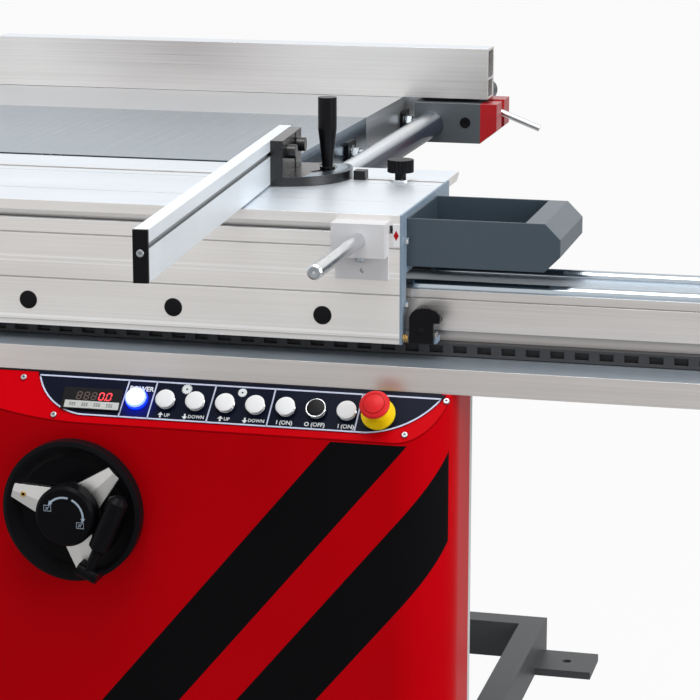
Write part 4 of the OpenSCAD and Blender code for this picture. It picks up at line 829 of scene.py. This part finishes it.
class SAW_OT_panel(bpy.types.Operator):
    """Prints the control panel: border, dividers, arrows, words and signs, and lays a dark sheet of film
    above the label as painted shadow of the rail
    """

    bl_idname = "saw.panel"
    bl_label = "Control panel"

    # Words, how far each stands from its button in millimetres, and its share of the letter height
    words = (
        ("UP", 4.5, 0.82), ("DOWN", 3.6, 0.82), ("UP", 4.5, 0.82), ("DOWN", 3.6, 0.82),
        ("I (ON)", 0.4, 1.0), ("O (OFF)", 0.0, 1.0), ("I (ON)", 0.8, 1.0))
    word_row = -57 * MM
    power_place = (KEY_FIRST + 4 * MM, -20.4 * MM)
    power_share = 1.2
    # Edges of a dark sheet of film between the label and the rail: painted shadow of the rail's overhang
    margin_top, margin_lap, margin_sink = -2 * MM, 1 * MM, 0.05 * MM
    margin_left, margin_right = 1 * MM, 3 * MM
    # Foot and head of each slanted line in millimetres
    dividers = ((236.8, 242.6), (277.6, 282.3), (360.5, 365.5), (444.7, 448.4), (565.1, 568.7))
    arrow = ((-0.5, -1.6), (0.5, -1.6), (0.5, 0), (1.7, 0), (0, 1.9), (-1.7, 0), (-0.5, 0))
    arrow_size = 2.4 * MM
    arrow_shifts = (-4.6 * MM, -12.4 * MM)
    # Centre, radius and number of teeth of each blade sign, in millimetres
    blades = ((325.5, -16.5, 6.6, 14), (403.5, -16.5, 6.2, 0))

    def execute(self, context):
        look, sizes = context.scene.saw_finishes, context.scene.saw_details
        film = ("panel_film", dress("control_panel", "panel_film", lit_film, look))
        white = skin("panel_film", "panel_print", moulded, look.mark_white, rough=0.4, grain=0.00001)
        pale = skin("panel_film", "panel_lines", moulded, look.line_pale, rough=0.4, grain=0.00001)
        lift, wide = sizes.mark_height, sizes.border_width
        top, foot = (-row for row in LABEL_ROWS)
        label = on_panel(0, 0, LABEL_HEIGHT)
        border = label_outline(wide / 2)
        flat_marks("panel_border", strokes(border, wide, True), label, lift, "machine", pale)
        left, right = border[0][0] - wide, border[-1][0] + wide
        # Painted shadow of the rail: a dark sheet over the strip above the label
        low, high = top - self.margin_lap, self.margin_top
        margin = [(left, low), (right, low),
                  (right + self.margin_right, high), (left - self.margin_left, high)]
        flat_marks("panel_margin", [margin], on_panel(), LABEL_HEIGHT - self.margin_sink, "machine", film)
        lines = []
        for ends in self.dividers:
            lines += strokes([(x * MM, y) for x, y in zip(ends, (foot, top))], sizes.divider_width)
        flat_marks("panel_dividers", lines, label, lift, "machine", pale)
        flat_marks("panel_arrows", self.arrows(), label, lift, "machine", white)
        flat_marks("panel_blade_signs", self.blade_signs(), label, lift, "machine", white)
        rows = [(str(i), words, level, key_x(i + 1) + shift * MM, self.word_row)
                for i, (words, shift, level) in enumerate(self.words)]
        for name, words, level, x, y in rows + [("power", "POWER", self.power_share, *self.power_place)]:
            where = on_panel(x, y, LABEL_HEIGHT + lift / 2)
            height = sizes.letter_height * level
            lettering(f"panel_word_{name}", words, height, where, lift, "machine", white)
        return {"FINISHED"}

    def arrows(self):
        """Up and down arrows beside the words of the first four buttons."""
        loops = []
        for i in range(4):
            size = -self.arrow_size if i % 2 else self.arrow_size
            x = key_x(i + 1) + self.arrow_shifts[i % 2]
            loops.append([(x + u * size, self.word_row + v * size) for u, v in self.arrow])
        return loops

    def blade_signs(self):
        """A small disc over each pair of height buttons, toothed for the main blade."""
        loops = []
        for x, y, radius, teeth in self.blades:
            centre, radius = (x * MM, y * MM), radius * MM
            loops += strokes(arc(centre, radius * 0.6, 0, 345, 23), radius * 0.78, True)
            for k in range(teeth):
                angle = 360 * k / teeth
                ends = [arc(centre, radius * reach, angle, angle, 1)[0] for reach in (0.9, 1.14)]
                loops += strokes(ends, radius * 0.22)
        return loops


class SAW_OT_readout(bpy.types.Operator):
    """Adds the readout's window, digits and keypad strip"""

    bl_idname = "saw.readout"
    bl_label = "Readout"

    # Ends of a digit's segments as shares of its width and height
    bars = {
        "top": ((0.12, 1.0), (0.88, 1.0)), "middle": ((0.12, 0.5), (0.88, 0.5)),
        "foot": ((0.12, 0.0), (0.88, 0.0)),
        "left_high": ((0.0, 0.56), (0.0, 0.94)), "left_low": ((0.0, 0.06), (0.0, 0.44)),
        "right_high": ((1.0, 0.56), (1.0, 0.94)), "right_low": ((1.0, 0.06), (1.0, 0.44)),
    }
    slant_share, bar_share = 0.12, 0.15
    wide, tall = 6.2 * MM, 10.4 * MM
    digit_first, digit_pitch, digit_foot = 173 * MM, 10.6 * MM, -42 * MM
    dot_shift, dot_size = -2.2 * MM, 1.6 * MM
    dim_rise, lit_rise, ink_rise = 0.1 * MM, 0.12 * MM, 0.1 * MM
    keypad = ((158, -55.6), (235.5, -55.6), (235.5, -44.6), (158, -44.6))
    key_first, key_pitch, key_rows = 165, 17.6, (-48.2, -50.1, -52.0)
    dash_pitch, dash_length, dash_width = 3.2, 2.2, 1.0 * MM

    def digits(self, places, bars):
        """Segments of the digits at some of the readout's five places."""
        loops = []
        for place in places:
            x = self.digit_first + place * self.digit_pitch
            for bar in bars:
                ends = [(x + u * self.wide + self.slant_share * v * self.tall,
                         self.digit_foot + v * self.tall) for u, v in self.bars[bar]]
                loops += strokes(ends, self.tall * self.bar_share)
        return loops

    def execute(self, context):
        look = context.scene.saw_finishes
        dress("readout", "readout_case", moulded, look.plastic_black, rough=0.3)
        dim = skin("readout_case", "readout_dim", moulded, look.digit_dim, rough=0.3)
        lit = skin("readout_case", "readout_lit", glowing, look.digit_red, 1.6)
        strip = skin("readout_case", "readout_strip", moulded, look.keypad_grey, rough=0.45)
        ink = skin("readout_case", "readout_ink", moulded, look.keypad_ink, rough=0.5)
        face = on_panel(0, 0, READOUT_HEIGHT)
        faint = self.digits(range(3), self.bars)
        flat_marks("readout_faint_digits", faint, face, self.dim_rise, "machine", dim)
        dot = self.digit_first + 4 * self.digit_pitch + self.dot_shift
        shown = self.digits((3, 4), [bar for bar in self.bars if bar != "middle"])
        shown += strokes([(dot, self.digit_foot), (dot + self.dot_size, self.digit_foot)], self.dot_size)
        flat_marks("readout_lit_digits", shown, face, self.lit_rise, "machine", lit)
        flat_marks("readout_keypad", [in_mm(self.keypad)], face, PLATE, "machine", strip)
        dashes = []
        for start in (self.key_first + i * self.key_pitch for i in range(4)):
            for row in self.key_rows:
                for x in (start + i * self.dash_pitch for i in range(3)):
                    dashes += strokes(in_mm(((x, row), (x + self.dash_length, row))), self.dash_width)
        over = on_panel(0, 0, READOUT_HEIGHT + PLATE)
        flat_marks("readout_keys", dashes, over, self.ink_rise, "machine", ink)
        return {"FINISHED"}


class SAW_OT_controls(bpy.types.Operator):
    """Finishes the buttons, the power lamp and the emergency stop"""

    bl_idname = "saw.controls"
    bl_label = "Buttons and lamp"

    key_nodes = ("scorer_up_button", "scorer_down_button", "blade_up_button", "blade_down_button",
                 "start_button", "stop_button", "scorer_start_button")
    # Radius and height of the turned pieces in millimetres
    key = ((0, 10.0), (8.0, 9.9), (11.6, 9.5), (13.0, 8.9), (13.4, 8.2), (13.0, 7.4), (12.4, 7.2),
           (8.6, 7.1), (8.4, 6.8), (8.4, -6.0), (0, -6.0))
    rim = ((12.3, 9.2), (13.0, 9.3), (13.7, 8.8), (13.8, 8.0), (13.4, 7.3), (12.3, 7.3), (12.3, 9.2))
    collar = ((8.8, -1.0), (8.8, 2.2), (9.4, 2.4), (10.2, 2.0), (10.6, 1.0), (12.0, 0.7), (12.2, 0.0),
              (8.8, -1.0))
    lamp_sleeve = ((12.6, 5.05), (14.3, 5.05), (14.5, 5.5), (14.4, 7.0), (13.6, 7.8), (12.7, 8.0),
                   (12.6, 5.05))
    lamp_collar = ((12.7, 0.0), (14.5, 0.0), (14.5, 4.6), (14.2, 5.0), (12.7, 5.0), (12.7, 0.0))
    lamp_foot = ((14.6, 0.0), (15.3, 0.0), (15.4, 0.5), (15.2, 1.2), (14.8, 1.4), (14.6, 0.0))
    stop_under = ((19.7, 30.6), (20.5, 29.2), (20.3, 27.8), (19.0, 26.2), (16.2, 24.2), (14.0, 22.4),
                  (13.2, 21.0), (8.0, 21.0), (8.0, -10.0), (0, -10.0))
    stop_ring = ((13.6, -0.3), (13.9, 0.4), (14.7, 0.4), (15.0, -0.3), (13.6, -0.3))
    crown_radius, crown_top, crown_rings = 41.0, 36.0, (0, 5, 10, 14, 17, 19)

    def execute(self, context):
        look = context.scene.saw_finishes
        chrome = skin("collar_metal", "key_chrome", metal, look.chrome, rough=0.12, grain=90, spread=0.08,
                      depth=0.000004)
        self.keys(look, chrome)
        dress("power_lamp", "lamp_lens", glowing, look.lamp_white, 1.0, 0.9)
        dress("stop_collar", "stop_disc", moulded, look.stop_yellow, rough=0.42)
        pale = skin("lamp_lens", "lamp_sleeve", glowing, look.lamp_pale, 1.6, 0.9)
        blue = skin("lamp_lens", "lamp_ring", glowing, look.lamp_blue, 9.0, 0.9)
        turned("lamp_glow_sleeve", self.lamp_sleeve, on_key(0), "machine", pale, 48)
        turned("lamp_collar", self.lamp_collar, on_key(0), "machine", chrome, 48)
        turned("lamp_glow_foot", self.lamp_foot, on_key(0), "machine", blue, 48)
        self.stop_head(look)
        return {"FINISHED"}

    def keys(self, look, chrome):
        """Thin cap and bright neck of each push button, in its bright collar."""
        white = skin("key_plastic", "key_caps", capped_key, look.key_white, look.chrome)
        black = skin("black_plastic", "stop_key", capped_key, look.plastic_black, look.chrome)
        for i, node in enumerate(self.key_nodes):
            where, stops = on_key(i + 1), node == "stop_button"
            key = turned(f"{node}_key", self.key, where, f"{node}_cap", black if stops else white, 40)
            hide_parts(node)
            if stops:
                turned("stop_button_rim", self.rim, where, "stop_button_cap", chrome, 40)
            ring = turned(f"{node}_collar", self.collar, where, "machine", chrome, 40)
            if i == 0:
                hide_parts("button_collars")

    def stop_head(self, look):
        """Mushroom head of the emergency stop with its crown, rim, tapered underside and ring."""
        where = on_key(len(self.key_nodes) + 1)

        def on_crown(radius, lift=0.0):
            fall = self.crown_radius - math.sqrt(self.crown_radius ** 2 - radius ** 2)
            return radius, self.crown_top - fall + lift

        red = skin("stop_plastic", "stop_head", moulded, look.stop_red, rough=0.32)
        profile = (*map(on_crown, self.crown_rings), *self.stop_under)
        head = turned("stop_head", profile, where, "mushroom", red, 48)
        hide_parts("emergency_stop")
        mark = skin("stop_plastic", "stop_ring", moulded, look.ring_red, rough=0.35)
        ring = [on_crown(*place) for place in self.stop_ring]
        turned("stop_crown_ring", ring, where, "mushroom", mark, 48)


class SAW_OT_handwheel(bpy.types.Operator):
    """Finishes the handwheel, prints its hub and adds a bush"""

    bl_idname = "saw.handwheel"
    bl_label = "Handwheel"

    arrow_radius, arrow_width = 27 * MM, 2.8 * MM
    arrow_half, arrow_reach, arrow_drop = 3.2 * MM, 6 * MM, 1 * MM
    # Start and end of each arrow in degrees
    arrow_turns = ((77, 133), (65, -1))
    # Centres of the two signs, and their outlines, in millimetres
    signs = ((-23.4, 11), (22.7, -10.2))
    sign_box = ((-5, -4), (5, -4), (5, 4), (-5, 4))
    sign_line = ((-3, -2.4), (2.6, 2.2))
    sign_width, sign_arc_width, sign_arc_radius = 0.9 * MM, 0.8 * MM, 3.6 * MM
    bush = ((2.1, -7.0), (3.95, -7.0), (3.95, 0.1), (3.5, 0.5), (2.5, 0.5), (2.1, 0.1), (2.1, -7.0))

    def execute(self, context):
        look = context.scene.saw_finishes
        dress("handwheel", "wheel_black", moulded, look.plastic_black, rough=0.3, grain=0.00002, gloss=0.04)
        dress("crank_grip", "grip_black", moulded, look.plastic_black, rough=0.28, grain=0.00002, gloss=0.05)
        dress("wheel_spokes", "spoke_silver", metal, look.steel, rough=0.36, grain=60, spread=0.1)
        white = skin("grip_plastic", "hub_print", moulded, look.hub_blue, rough=0.4)
        hub = facing_front(WHEEL.x, WHEEL.y - HUB_FRONT, WHEEL.z)
        flat_marks("hub_arrows", self.arrows(), hub, PRINT, "wheel", white)
        flat_marks("hub_signs", self.sign_marks(), hub, PRINT, "wheel", white)
        brass = skin("cage_brass", "spoke_bush", metal, look.brass, rough=0.3, grain=60)
        reach, angle = SPOKE_HOLE
        hole = WHEEL + Vector((reach * math.cos(angle), -SPOKE_FRONT, reach * math.sin(angle)))
        turned("spoke_bush", self.bush, facing_front(*hole), "wheel", brass)
        return {"FINISHED"}

    def arrows(self):
        """Two curved arrows round the hub."""
        loops = []
        for start, end in self.arrow_turns:
            loops += strokes(arc((0, 0), self.arrow_radius, start, end, 14), self.arrow_width)
            tip = math.radians(end)
            out = Vector((math.cos(tip), math.sin(tip)))
            run = Vector((-out.y, out.x)) * math.copysign(self.arrow_reach, end - start)
            base, half = out * self.arrow_radius, out * self.arrow_half
            loops.append([tuple(p) for p in (base + half, base - half, base + run - out * self.arrow_drop)])
        return loops

    def sign_marks(self):
        """A framed sign of an angle at the end of each arrow."""
        loops = []
        for x, y in self.signs:
            frame_line, slope = (
                in_mm((x + u, y + v) for u, v in shape) for shape in (self.sign_box, self.sign_line))
            loops += strokes(frame_line, self.sign_width, True)
            loops += strokes(slope, self.sign_width)
            loops += strokes(arc(slope[0], self.sign_arc_radius, 0, 80, 8), self.sign_arc_width)
        return loops


class SAW_OT_mitre(bpy.types.Operator):
    """Finishes the mitre gauge and adds its scale and a screw"""

    bl_idname = "saw.mitre"
    bl_label = "Mitre gauge"

    plate_top = 13.4 * MM
    scale_inner, scale_margin = 60 * MM, 1.5 * MM
    tick_margin, tick_width, tick_rise = 2 * MM, 0.6 * MM, 0.08 * MM
    tick_long, tick_short = 12 * MM, 6 * MM
    # First and last angle of the scale's edges, and the angles of its ticks, in degrees
    outer_turn, inner_turn, tick_turns = (-66, 29), (38, -58), range(-50, 33, 2)
    cap_place = (-28 * MM, -805 * MM, 38 * MM)
    cap_width, cap_rise = 9 * MM, 1.8 * MM

    def execute(self, context):
        look = context.scene.saw_finishes
        dress("mitre_plate mitre_bolts", "gauge_black", paint, look.plastic_black, rough=0.26, gloss=0.5,
              edge=0.001)
        dress("mitre_handle", "gauge_grip", moulded, look.plastic_black, rough=0.3)
        bright, dark = (look.steel, 0.85, 1.1, 1.0, 0.36), (look.plastic_black, 0.8, 1.3, 0.0, 0.36)
        dress("mitre_shoe", "shoe_steel", two_finishes, "Z", MITRE.z + 0.2 * MM, bright, dark,
              (2.0, 300.0, 300.0), swing=0.2, gloss=0.25)
        turn = Matrix.Rotation(MITRE_REST, 4, "Z")
        self.scale(look, Matrix.Translation(MITRE + Vector((0, 0, self.plate_top))) @ turn)
        zinc = skin("hard_chrome", "cap_screw", metal, look.zinc, rough=0.3, grain=120, seam=0.003)
        where = frame_from(turn @ Vector((1, 0, 0)), (0, 0, 1), MITRE + turn @ Vector(self.cap_place))
        width, rise = self.cap_width, self.cap_rise
        socket_screw("fence_cap_screw", where, width, rise, "mitre_gauge", zinc, 0.45)
        return {"FINISHED"}

    def scale(self, look, where):
        """Bright scale along the plate's round edge, with its ticks."""
        silver = skin("steel", "scale_silver", metal, look.table_metal, rough=0.3, grain=60, spread=0.1)
        ink = skin("black_plastic", "scale_ink", moulded, look.plastic_black, rough=0.5)
        outer = arc((MITRE_SHIFT, 0), MITRE_EDGE - self.scale_margin, *self.outer_turn, 40)
        inner = arc((0, 0), self.scale_inner, *self.inner_turn, 40)
        flat_marks("mitre_scale", [outer + inner], where, PLATE, "mitre_gauge", silver)
        ticks = []
        for degree in self.tick_turns:
            a = math.radians(degree)
            edge = MITRE_SHIFT * math.cos(a) + math.sqrt(MITRE_EDGE ** 2 - (MITRE_SHIFT * math.sin(a)) ** 2)
            far = edge - self.tick_margin
            near = far - (self.tick_short if degree % 10 else self.tick_long)
            ticks += strokes([(r * math.cos(a), r * math.sin(a)) for r in (near, far)], self.tick_width)
        over = where @ Matrix.Translation((0, 0, PLATE))
        flat_marks("mitre_ticks", ticks, over, self.tick_rise, "mitre_gauge", ink)


class SAW_OT_fittings(bpy.types.Operator):
    """Finishes the latch, the pointer plate and the rip fence's carrier"""

    bl_idname = "saw.fittings"
    bl_label = "Latch, pointer and carrier"

    # Outlines and profiles in millimetres, and the rod end's radii as shares of the rod's
    diamond = ((0, -7), (3.6, 0), (0, 7), (-3.6, 0))
    rod_end = ((0.0, -1.2), (0.14, -1.2), (0.2, 0.1), (0.5, 0.1), (0.56, 0.3), (0.72, 0.3), (0.76, 0.1),
               (0.8, -0.3), (0.0, -1.6))
    pin = ((0, 1.4), (2.6, 1.4), (4.0, 0.9), (4.4, 0.1), (0, 0.1))
    bolt = ((0, 0), (6.4, 0), (6.4, 6.2), (5.6, 7.2), (0, 7.2))
    bolt_washer = ((0, 0), (8.2, 0), (8.2, 1.2), (7.8, 1.5), (0, 1.5))
    nut = ((8.1, 8.0), (12.4, 8.0), (13.2, 8.8), (13.2, 17.2), (12.4, 18.0), (8.1, 18.0), (8.1, 8.0))
    nut_washer = ((8.1, 5.6), (15.0, 5.6), (15.4, 6.2), (15.4, 7.6), (15.0, 8.0), (8.1, 8.0), (8.1, 5.6))
    carrier_screw_inset, carrier_screw_lift = 57 * MM, 37 * MM
    carrier_screw_width, carrier_screw_rise = 19 * MM, 1.6 * MM
    # Width, height and corner radius of two plates
    bar_plate, stop_plate = (52 * MM, 44 * MM, 5 * MM), (14 * MM, 13 * MM, 2 * MM)
    stop_rise = 1.8 * MM
    clamp_under = (-417 * MM, 806 * MM)
    stud_rows, stud_height = (120 * MM, 400 * MM, 800 * MM, 1150 * MM), 815 * MM
    stop_place = (653.2 * MM, -380 * MM, 694 * MM)
    spring_shift = Vector((-24.3 * MM, -13.6 * MM, -11 * MM))
    spring_wire, spring_turns, spring_run, spring_steps = 0.7 * MM, 3, 7.6 * MM, 16

    def execute(self, context):
        look, sizes = context.scene.saw_finishes, context.scene.saw_details
        dress("latch_lever", "latch_black", moulded, look.plastic_black, rough=0.25)
        dress("pointer_flag", "flag_white", moulded, look.flag_white, rough=0.4)
        grey, red = (look.carrier_grey, 0.85, 1.15, 0.35, 0.4), (look.cap_red, 0.85, 1.1, 0.0, 0.3)
        cap_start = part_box("fence_carrier")[1].x - CARRIER_CAP
        dress("fence_carrier", "carrier_coat", two_finishes, "X", cap_start, grey, red, 700.0, cloud=20.0,
              detail=2.0, swing=0.1, depth=0.00006, edge=0.0015, rub=0.35)
        black = skin("black_plastic", "black_screws", moulded, look.plastic_black, rough=0.3)
        zinc = skin("hard_chrome", "zinc_fittings", metal, look.zinc, rough=0.3, grain=120)
        self.pointer(look)
        self.carrier(black)
        self.clamp_bolt(zinc)
        self.bar_nuts(zinc, black)
        self.handle_end(look)
        self.latch(look, black)
        self.spring(look, sizes)
        return {"FINISHED"}

    def pointer(self, look):
        """Red diamond printed on the pointer plate."""
        red = skin("flag_plate", "flag_red", moulded, look.cap_red, rough=0.4)
        low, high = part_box("pointer_flag")
        where = facing_front((low.x + high.x) / 2, low.y, (low.z + high.z) / 2)
        flat_marks("pointer_diamond", [in_mm(self.diamond)], where, PRINT, "sliding_carriage", red)

    def carrier(self, black):
        """Screw in the front of the rip fence's carrier."""
        low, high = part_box("fence_carrier")
        where = facing_front(high.x - self.carrier_screw_inset, low.y, low.z + self.carrier_screw_lift)
        width, rise = self.carrier_screw_width, self.carrier_screw_rise
        socket_screw("carrier_screw", where, width, rise, "rip_carrier", black)

    def clamp_bolt(self, zinc):
        """Hexagon bolt and washer under the block of the push handle."""
        low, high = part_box("handle_bar")
        where = frame_from((1, 0, 0), (0, -1, 0), ((low.x + high.x) / 2, *self.clamp_under))
        turned("clamp_bolt", self.bolt, where, "push_handle", zinc, 6, False)
        turned("clamp_washer", self.bolt_washer, where, "push_handle", zinc, 40)

    def bar_nuts(self, zinc, black):
        """Plate, washer and nut where each stud of the rip fence's bar leaves the table."""
        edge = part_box("main_table")[1].x
        plate = rounded(*self.bar_plate)
        for i, y in enumerate(self.stud_rows):
            where = facing_infeed(edge, y, self.stud_height)
            flat_marks(f"bar_plate_{i}", [plate], where, self.nut_washer[0][1] * MM, "machine", black)
            turned(f"bar_washer_{i}", self.nut_washer, where, "machine", zinc, 40)
            turned(f"bar_nut_{i}", self.nut, where, "machine", zinc, 6, False)

    def handle_end(self, look):
        """Turned end face of the push handle's rod, with its centre hole."""
        steel = skin("hard_chrome", "rod_end", metal, look.zinc, rough=0.35, grain=300, spread=0.3)
        low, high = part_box("handle_bar")
        radius = (high.x - low.x) / 2 / MM
        where = facing_front((low.x + high.x) / 2, low.y, (low.z + high.z) / 2)
        profile = [(reach * radius, height) for reach, height in self.rod_end]
        turned("rod_end", profile, where, "push_handle", steel, 40)

    def latch(self, look, black):
        """Upturned end of the latch's base, and the blackened head of its pin."""
        steel = skin("end_paint", "latch_stop", metal, look.steel, rough=0.35, grain=120)
        plate = rounded(*self.stop_plate)
        where = facing_infeed(*self.stop_place)
        flat_marks("latch_stop", [plate], where, self.stop_rise, "sliding_carriage", steel)
        front = facing_front(LATCH.x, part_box("latch_lever")[0].y, LATCH.z)
        turned("latch_pin", self.pin, front, "latch", black)

    def spring(self, look, sizes):
        """Small coil between the latch and the end plate, which the latch presses together."""
        brass = skin("cage_brass", "latch_spring", metal, look.brass, rough=0.3, grain=60)
        radius, start = sizes.spring_width / 2, LATCH + self.spring_shift
        curve = bpy.data.curves.new("latch_spring_path", "CURVE")
        curve.dimensions = "3D"
        curve.bevel_depth = self.spring_wire
        curve.bevel_resolution = 3
        line = curve.splines.new("POLY")
        steps = self.spring_turns * self.spring_steps
        line.points.add(steps)
        for i, point in enumerate(line.points):
            a = 2 * math.pi * i / self.spring_steps
            along = self.spring_run * i / steps
            point.co = (*(start + Vector((along, radius * math.cos(a), radius * math.sin(a)))), 1.0)
        piece = settle(mesh_of(curve, "latch_spring"), "latch_spring", "sliding_carriage", brass)
        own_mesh(piece)


class SAW_OT_saw_unit(bpy.types.Operator):
    """Finishes the blades, the hood and the saw unit inside"""

    bl_idname = "saw.saw_unit"
    bl_label = "Saw unit"

    def execute(self, context):
        look = context.scene.saw_finishes
        dress("saw_blade scoring_blade riving_knife arbor motor_pulley", "blade_steel", metal, look.zinc,
              rough=0.34, grain=80, spread=0.12)
        dress("trunnions tilt_cradle lift_slide", "unit_casting", cast, look.casting_grey)
        dress("drive_motor", "motor_coat", paint, look.motor_blue)
        dress("drive_belt", "belt_rubber", moulded, look.plastic_black, rough=0.7, grain=0.0001)
        dress("blade_guard", "hood_red", moulded, look.stop_red, rough=0.3)
        dress("roller_cage", "cage_brass", metal, look.brass, rough=0.35)
        return {"FINISHED"}


class SAW_OT_stage(bpy.types.Operator):
    """Sets up the floor, the lamps, the level sky and the camera"""

    bl_idname = "saw.stage"
    bl_label = "Studio"

    # Place, aim and size of the lamps in metres
    key_lamp = ((0.7, -1.3, 5.0), (0.2, -0.2, 0.8), 3.0)
    fill_lamp = ((4.6, -1.6, 1.9), (0.4, -0.4, 0.6), 2.4)
    floor_reach = 40
    floor_drop = 0.5 * MM
    floor_grey, floor_rough = (0.42, 0.42, 0.42, 1.0), 0.9
    # Where the floor starts to turn greyer in metal, and over what run
    fall_start, fall_run = -2.4, 2.2

    def execute(self, context):
        scene, setup = context.scene, context.scene.saw_stage
        scene.view_settings.view_transform = "Standard"
        self.floor(setup)
        self.sky(scene, setup)
        self.lamp("key_lamp", *self.key_lamp, setup.key_power)
        self.lamp("fill_lamp", *self.fill_lamp, setup.fill_power)
        camera = bpy.data.cameras.new("photo_camera")
        camera.sensor_width = 36
        camera.lens = setup.lens
        camera.clip_end = 100
        scene.camera = self.aimed(link("photo_camera", camera), setup.camera_place, setup.camera_aim)
        return {"FINISHED"}

    def aimed(self, thing, place, direction):
        """Puts a lamp or camera in its place and points it."""
        thing.location = place
        thing.rotation_euler = Vector(direction).to_track_quat("-Z", "Y").to_euler()
        return thing

    def lamp(self, name, place, aim, size, watts):
        light = bpy.data.lights.new(name, "AREA")
        light.size = size
        light.energy = watts
        self.aimed(link(name, light), place, Vector(aim) - Vector(place))

    def floor(self, setup):
        """Pale floor that keeps the shadow, and is white to the camera and in metal."""
        made = bmesh.new()
        bmesh.ops.create_grid(made, x_segments=2, y_segments=2, size=self.floor_reach)
        mesh = bpy.data.meshes.new("studio_floor")
        made.to_mesh(mesh)
        made.free()
        material = finish(
            "studio_floor", lambda wire: {"Base Color": self.floor_grey, "Roughness": self.floor_rough})
        tree = material.node_tree
        wire = Wire(tree)
        shader = Wire(tree, tree.nodes["Principled BSDF"].outputs[0])
        mirrored = wire.node("ShaderNodeLightPath", output="Is Glossy Ray")
        east = place_of(wire).part("X") - self.fall_start
        rightward = wire.maths("DIVIDE", east, self.fall_run, True)
        level = 1.0 - mirrored * rightward * setup.floor_fall
        glow = {"Color": level.mix(GLOW_BLACK, WHITE), "Strength": 1.0}
        white = wire.node("ShaderNodeEmission", None, glow)
        seen = self.seen_directly(wire) * setup.floor_glow
        mixed = wire.node("ShaderNodeMixShader", None, {0: seen, 1: shader, 2: white})
        feed(tree, tree.nodes["Material Output"], {"Surface": mixed})
        mesh.materials.append(material)
        floor = link("studio_floor", mesh)
        floor.location.z = -self.floor_drop

    def seen_directly(self, wire):
        """1 for the camera, mirrors and glass, 0 for light that falls on the object."""
        camera, mirror, glass = (
            wire.node("ShaderNodeLightPath", output=f"Is {ray} Ray")
            for ray in ("Camera", "Glossy", "Transmission"))
        return wire.maths("MAXIMUM", wire.maths("MAXIMUM", camera, mirror), glass)

    def sky(self, scene, setup):
        """Level light from all round, white to the camera and in metal."""
        scene.world = bpy.data.worlds.new("studio_sky")
        scene.world.use_nodes = True
        tree = scene.world.node_tree
        level = self.seen_directly(Wire(tree)) * (1 - setup.sky) + setup.sky
        feed(tree, tree.nodes["Background"], {"Color": WHITE, "Strength": level})


PIECES = (SAW_OT_profiles, SAW_OT_cabinet, SAW_OT_cover, SAW_OT_panel, SAW_OT_readout, SAW_OT_controls,
          SAW_OT_handwheel, SAW_OT_mitre, SAW_OT_fittings, SAW_OT_saw_unit, SAW_OT_stage)
SETTINGS = {"saw_finishes": SawFinishes, "saw_details": SawDetails, "saw_stage": SawStage}


class SAW_PT_pieces(bpy.types.Panel):
    """Lists the saw's pieces and settings"""

    bl_idname = "SAW_PT_pieces"
    bl_label = "Sliding table saw"
    bl_space_type = "VIEW_3D"
    bl_region_type = "UI"
    bl_category = "Saw"

    def draw(self, context):
        for piece in PIECES:
            self.layout.operator(piece.bl_idname)
        for setting in SETTINGS:
            group = getattr(context.scene, setting)
            for name in group.__annotations__:
                self.layout.prop(group, name)


def register():
    for kind in (*SETTINGS.values(), *PIECES, SAW_PT_pieces):
        bpy.utils.register_class(kind)
    for name, kind in SETTINGS.items():
        setattr(bpy.types.Scene, name, bpy.props.PointerProperty(type=kind))


def unregister():
    for name in SETTINGS:
        delattr(bpy.types.Scene, name)
    for kind in (SAW_PT_pieces, *reversed(PIECES), *reversed(SETTINGS.values())):
        bpy.utils.unregister_class(kind)


def main():
    register()
    bpy.ops.saw.profiles()
    bpy.ops.saw.cabinet()
    bpy.ops.saw.cover()
    bpy.ops.saw.panel()
    bpy.ops.saw.readout()
    bpy.ops.saw.controls()
    bpy.ops.saw.handwheel()
    bpy.ops.saw.mitre()
    bpy.ops.saw.fittings()
    bpy.ops.saw.saw_unit()
    bpy.ops.saw.stage()


if __name__ == "__main__":
    main()
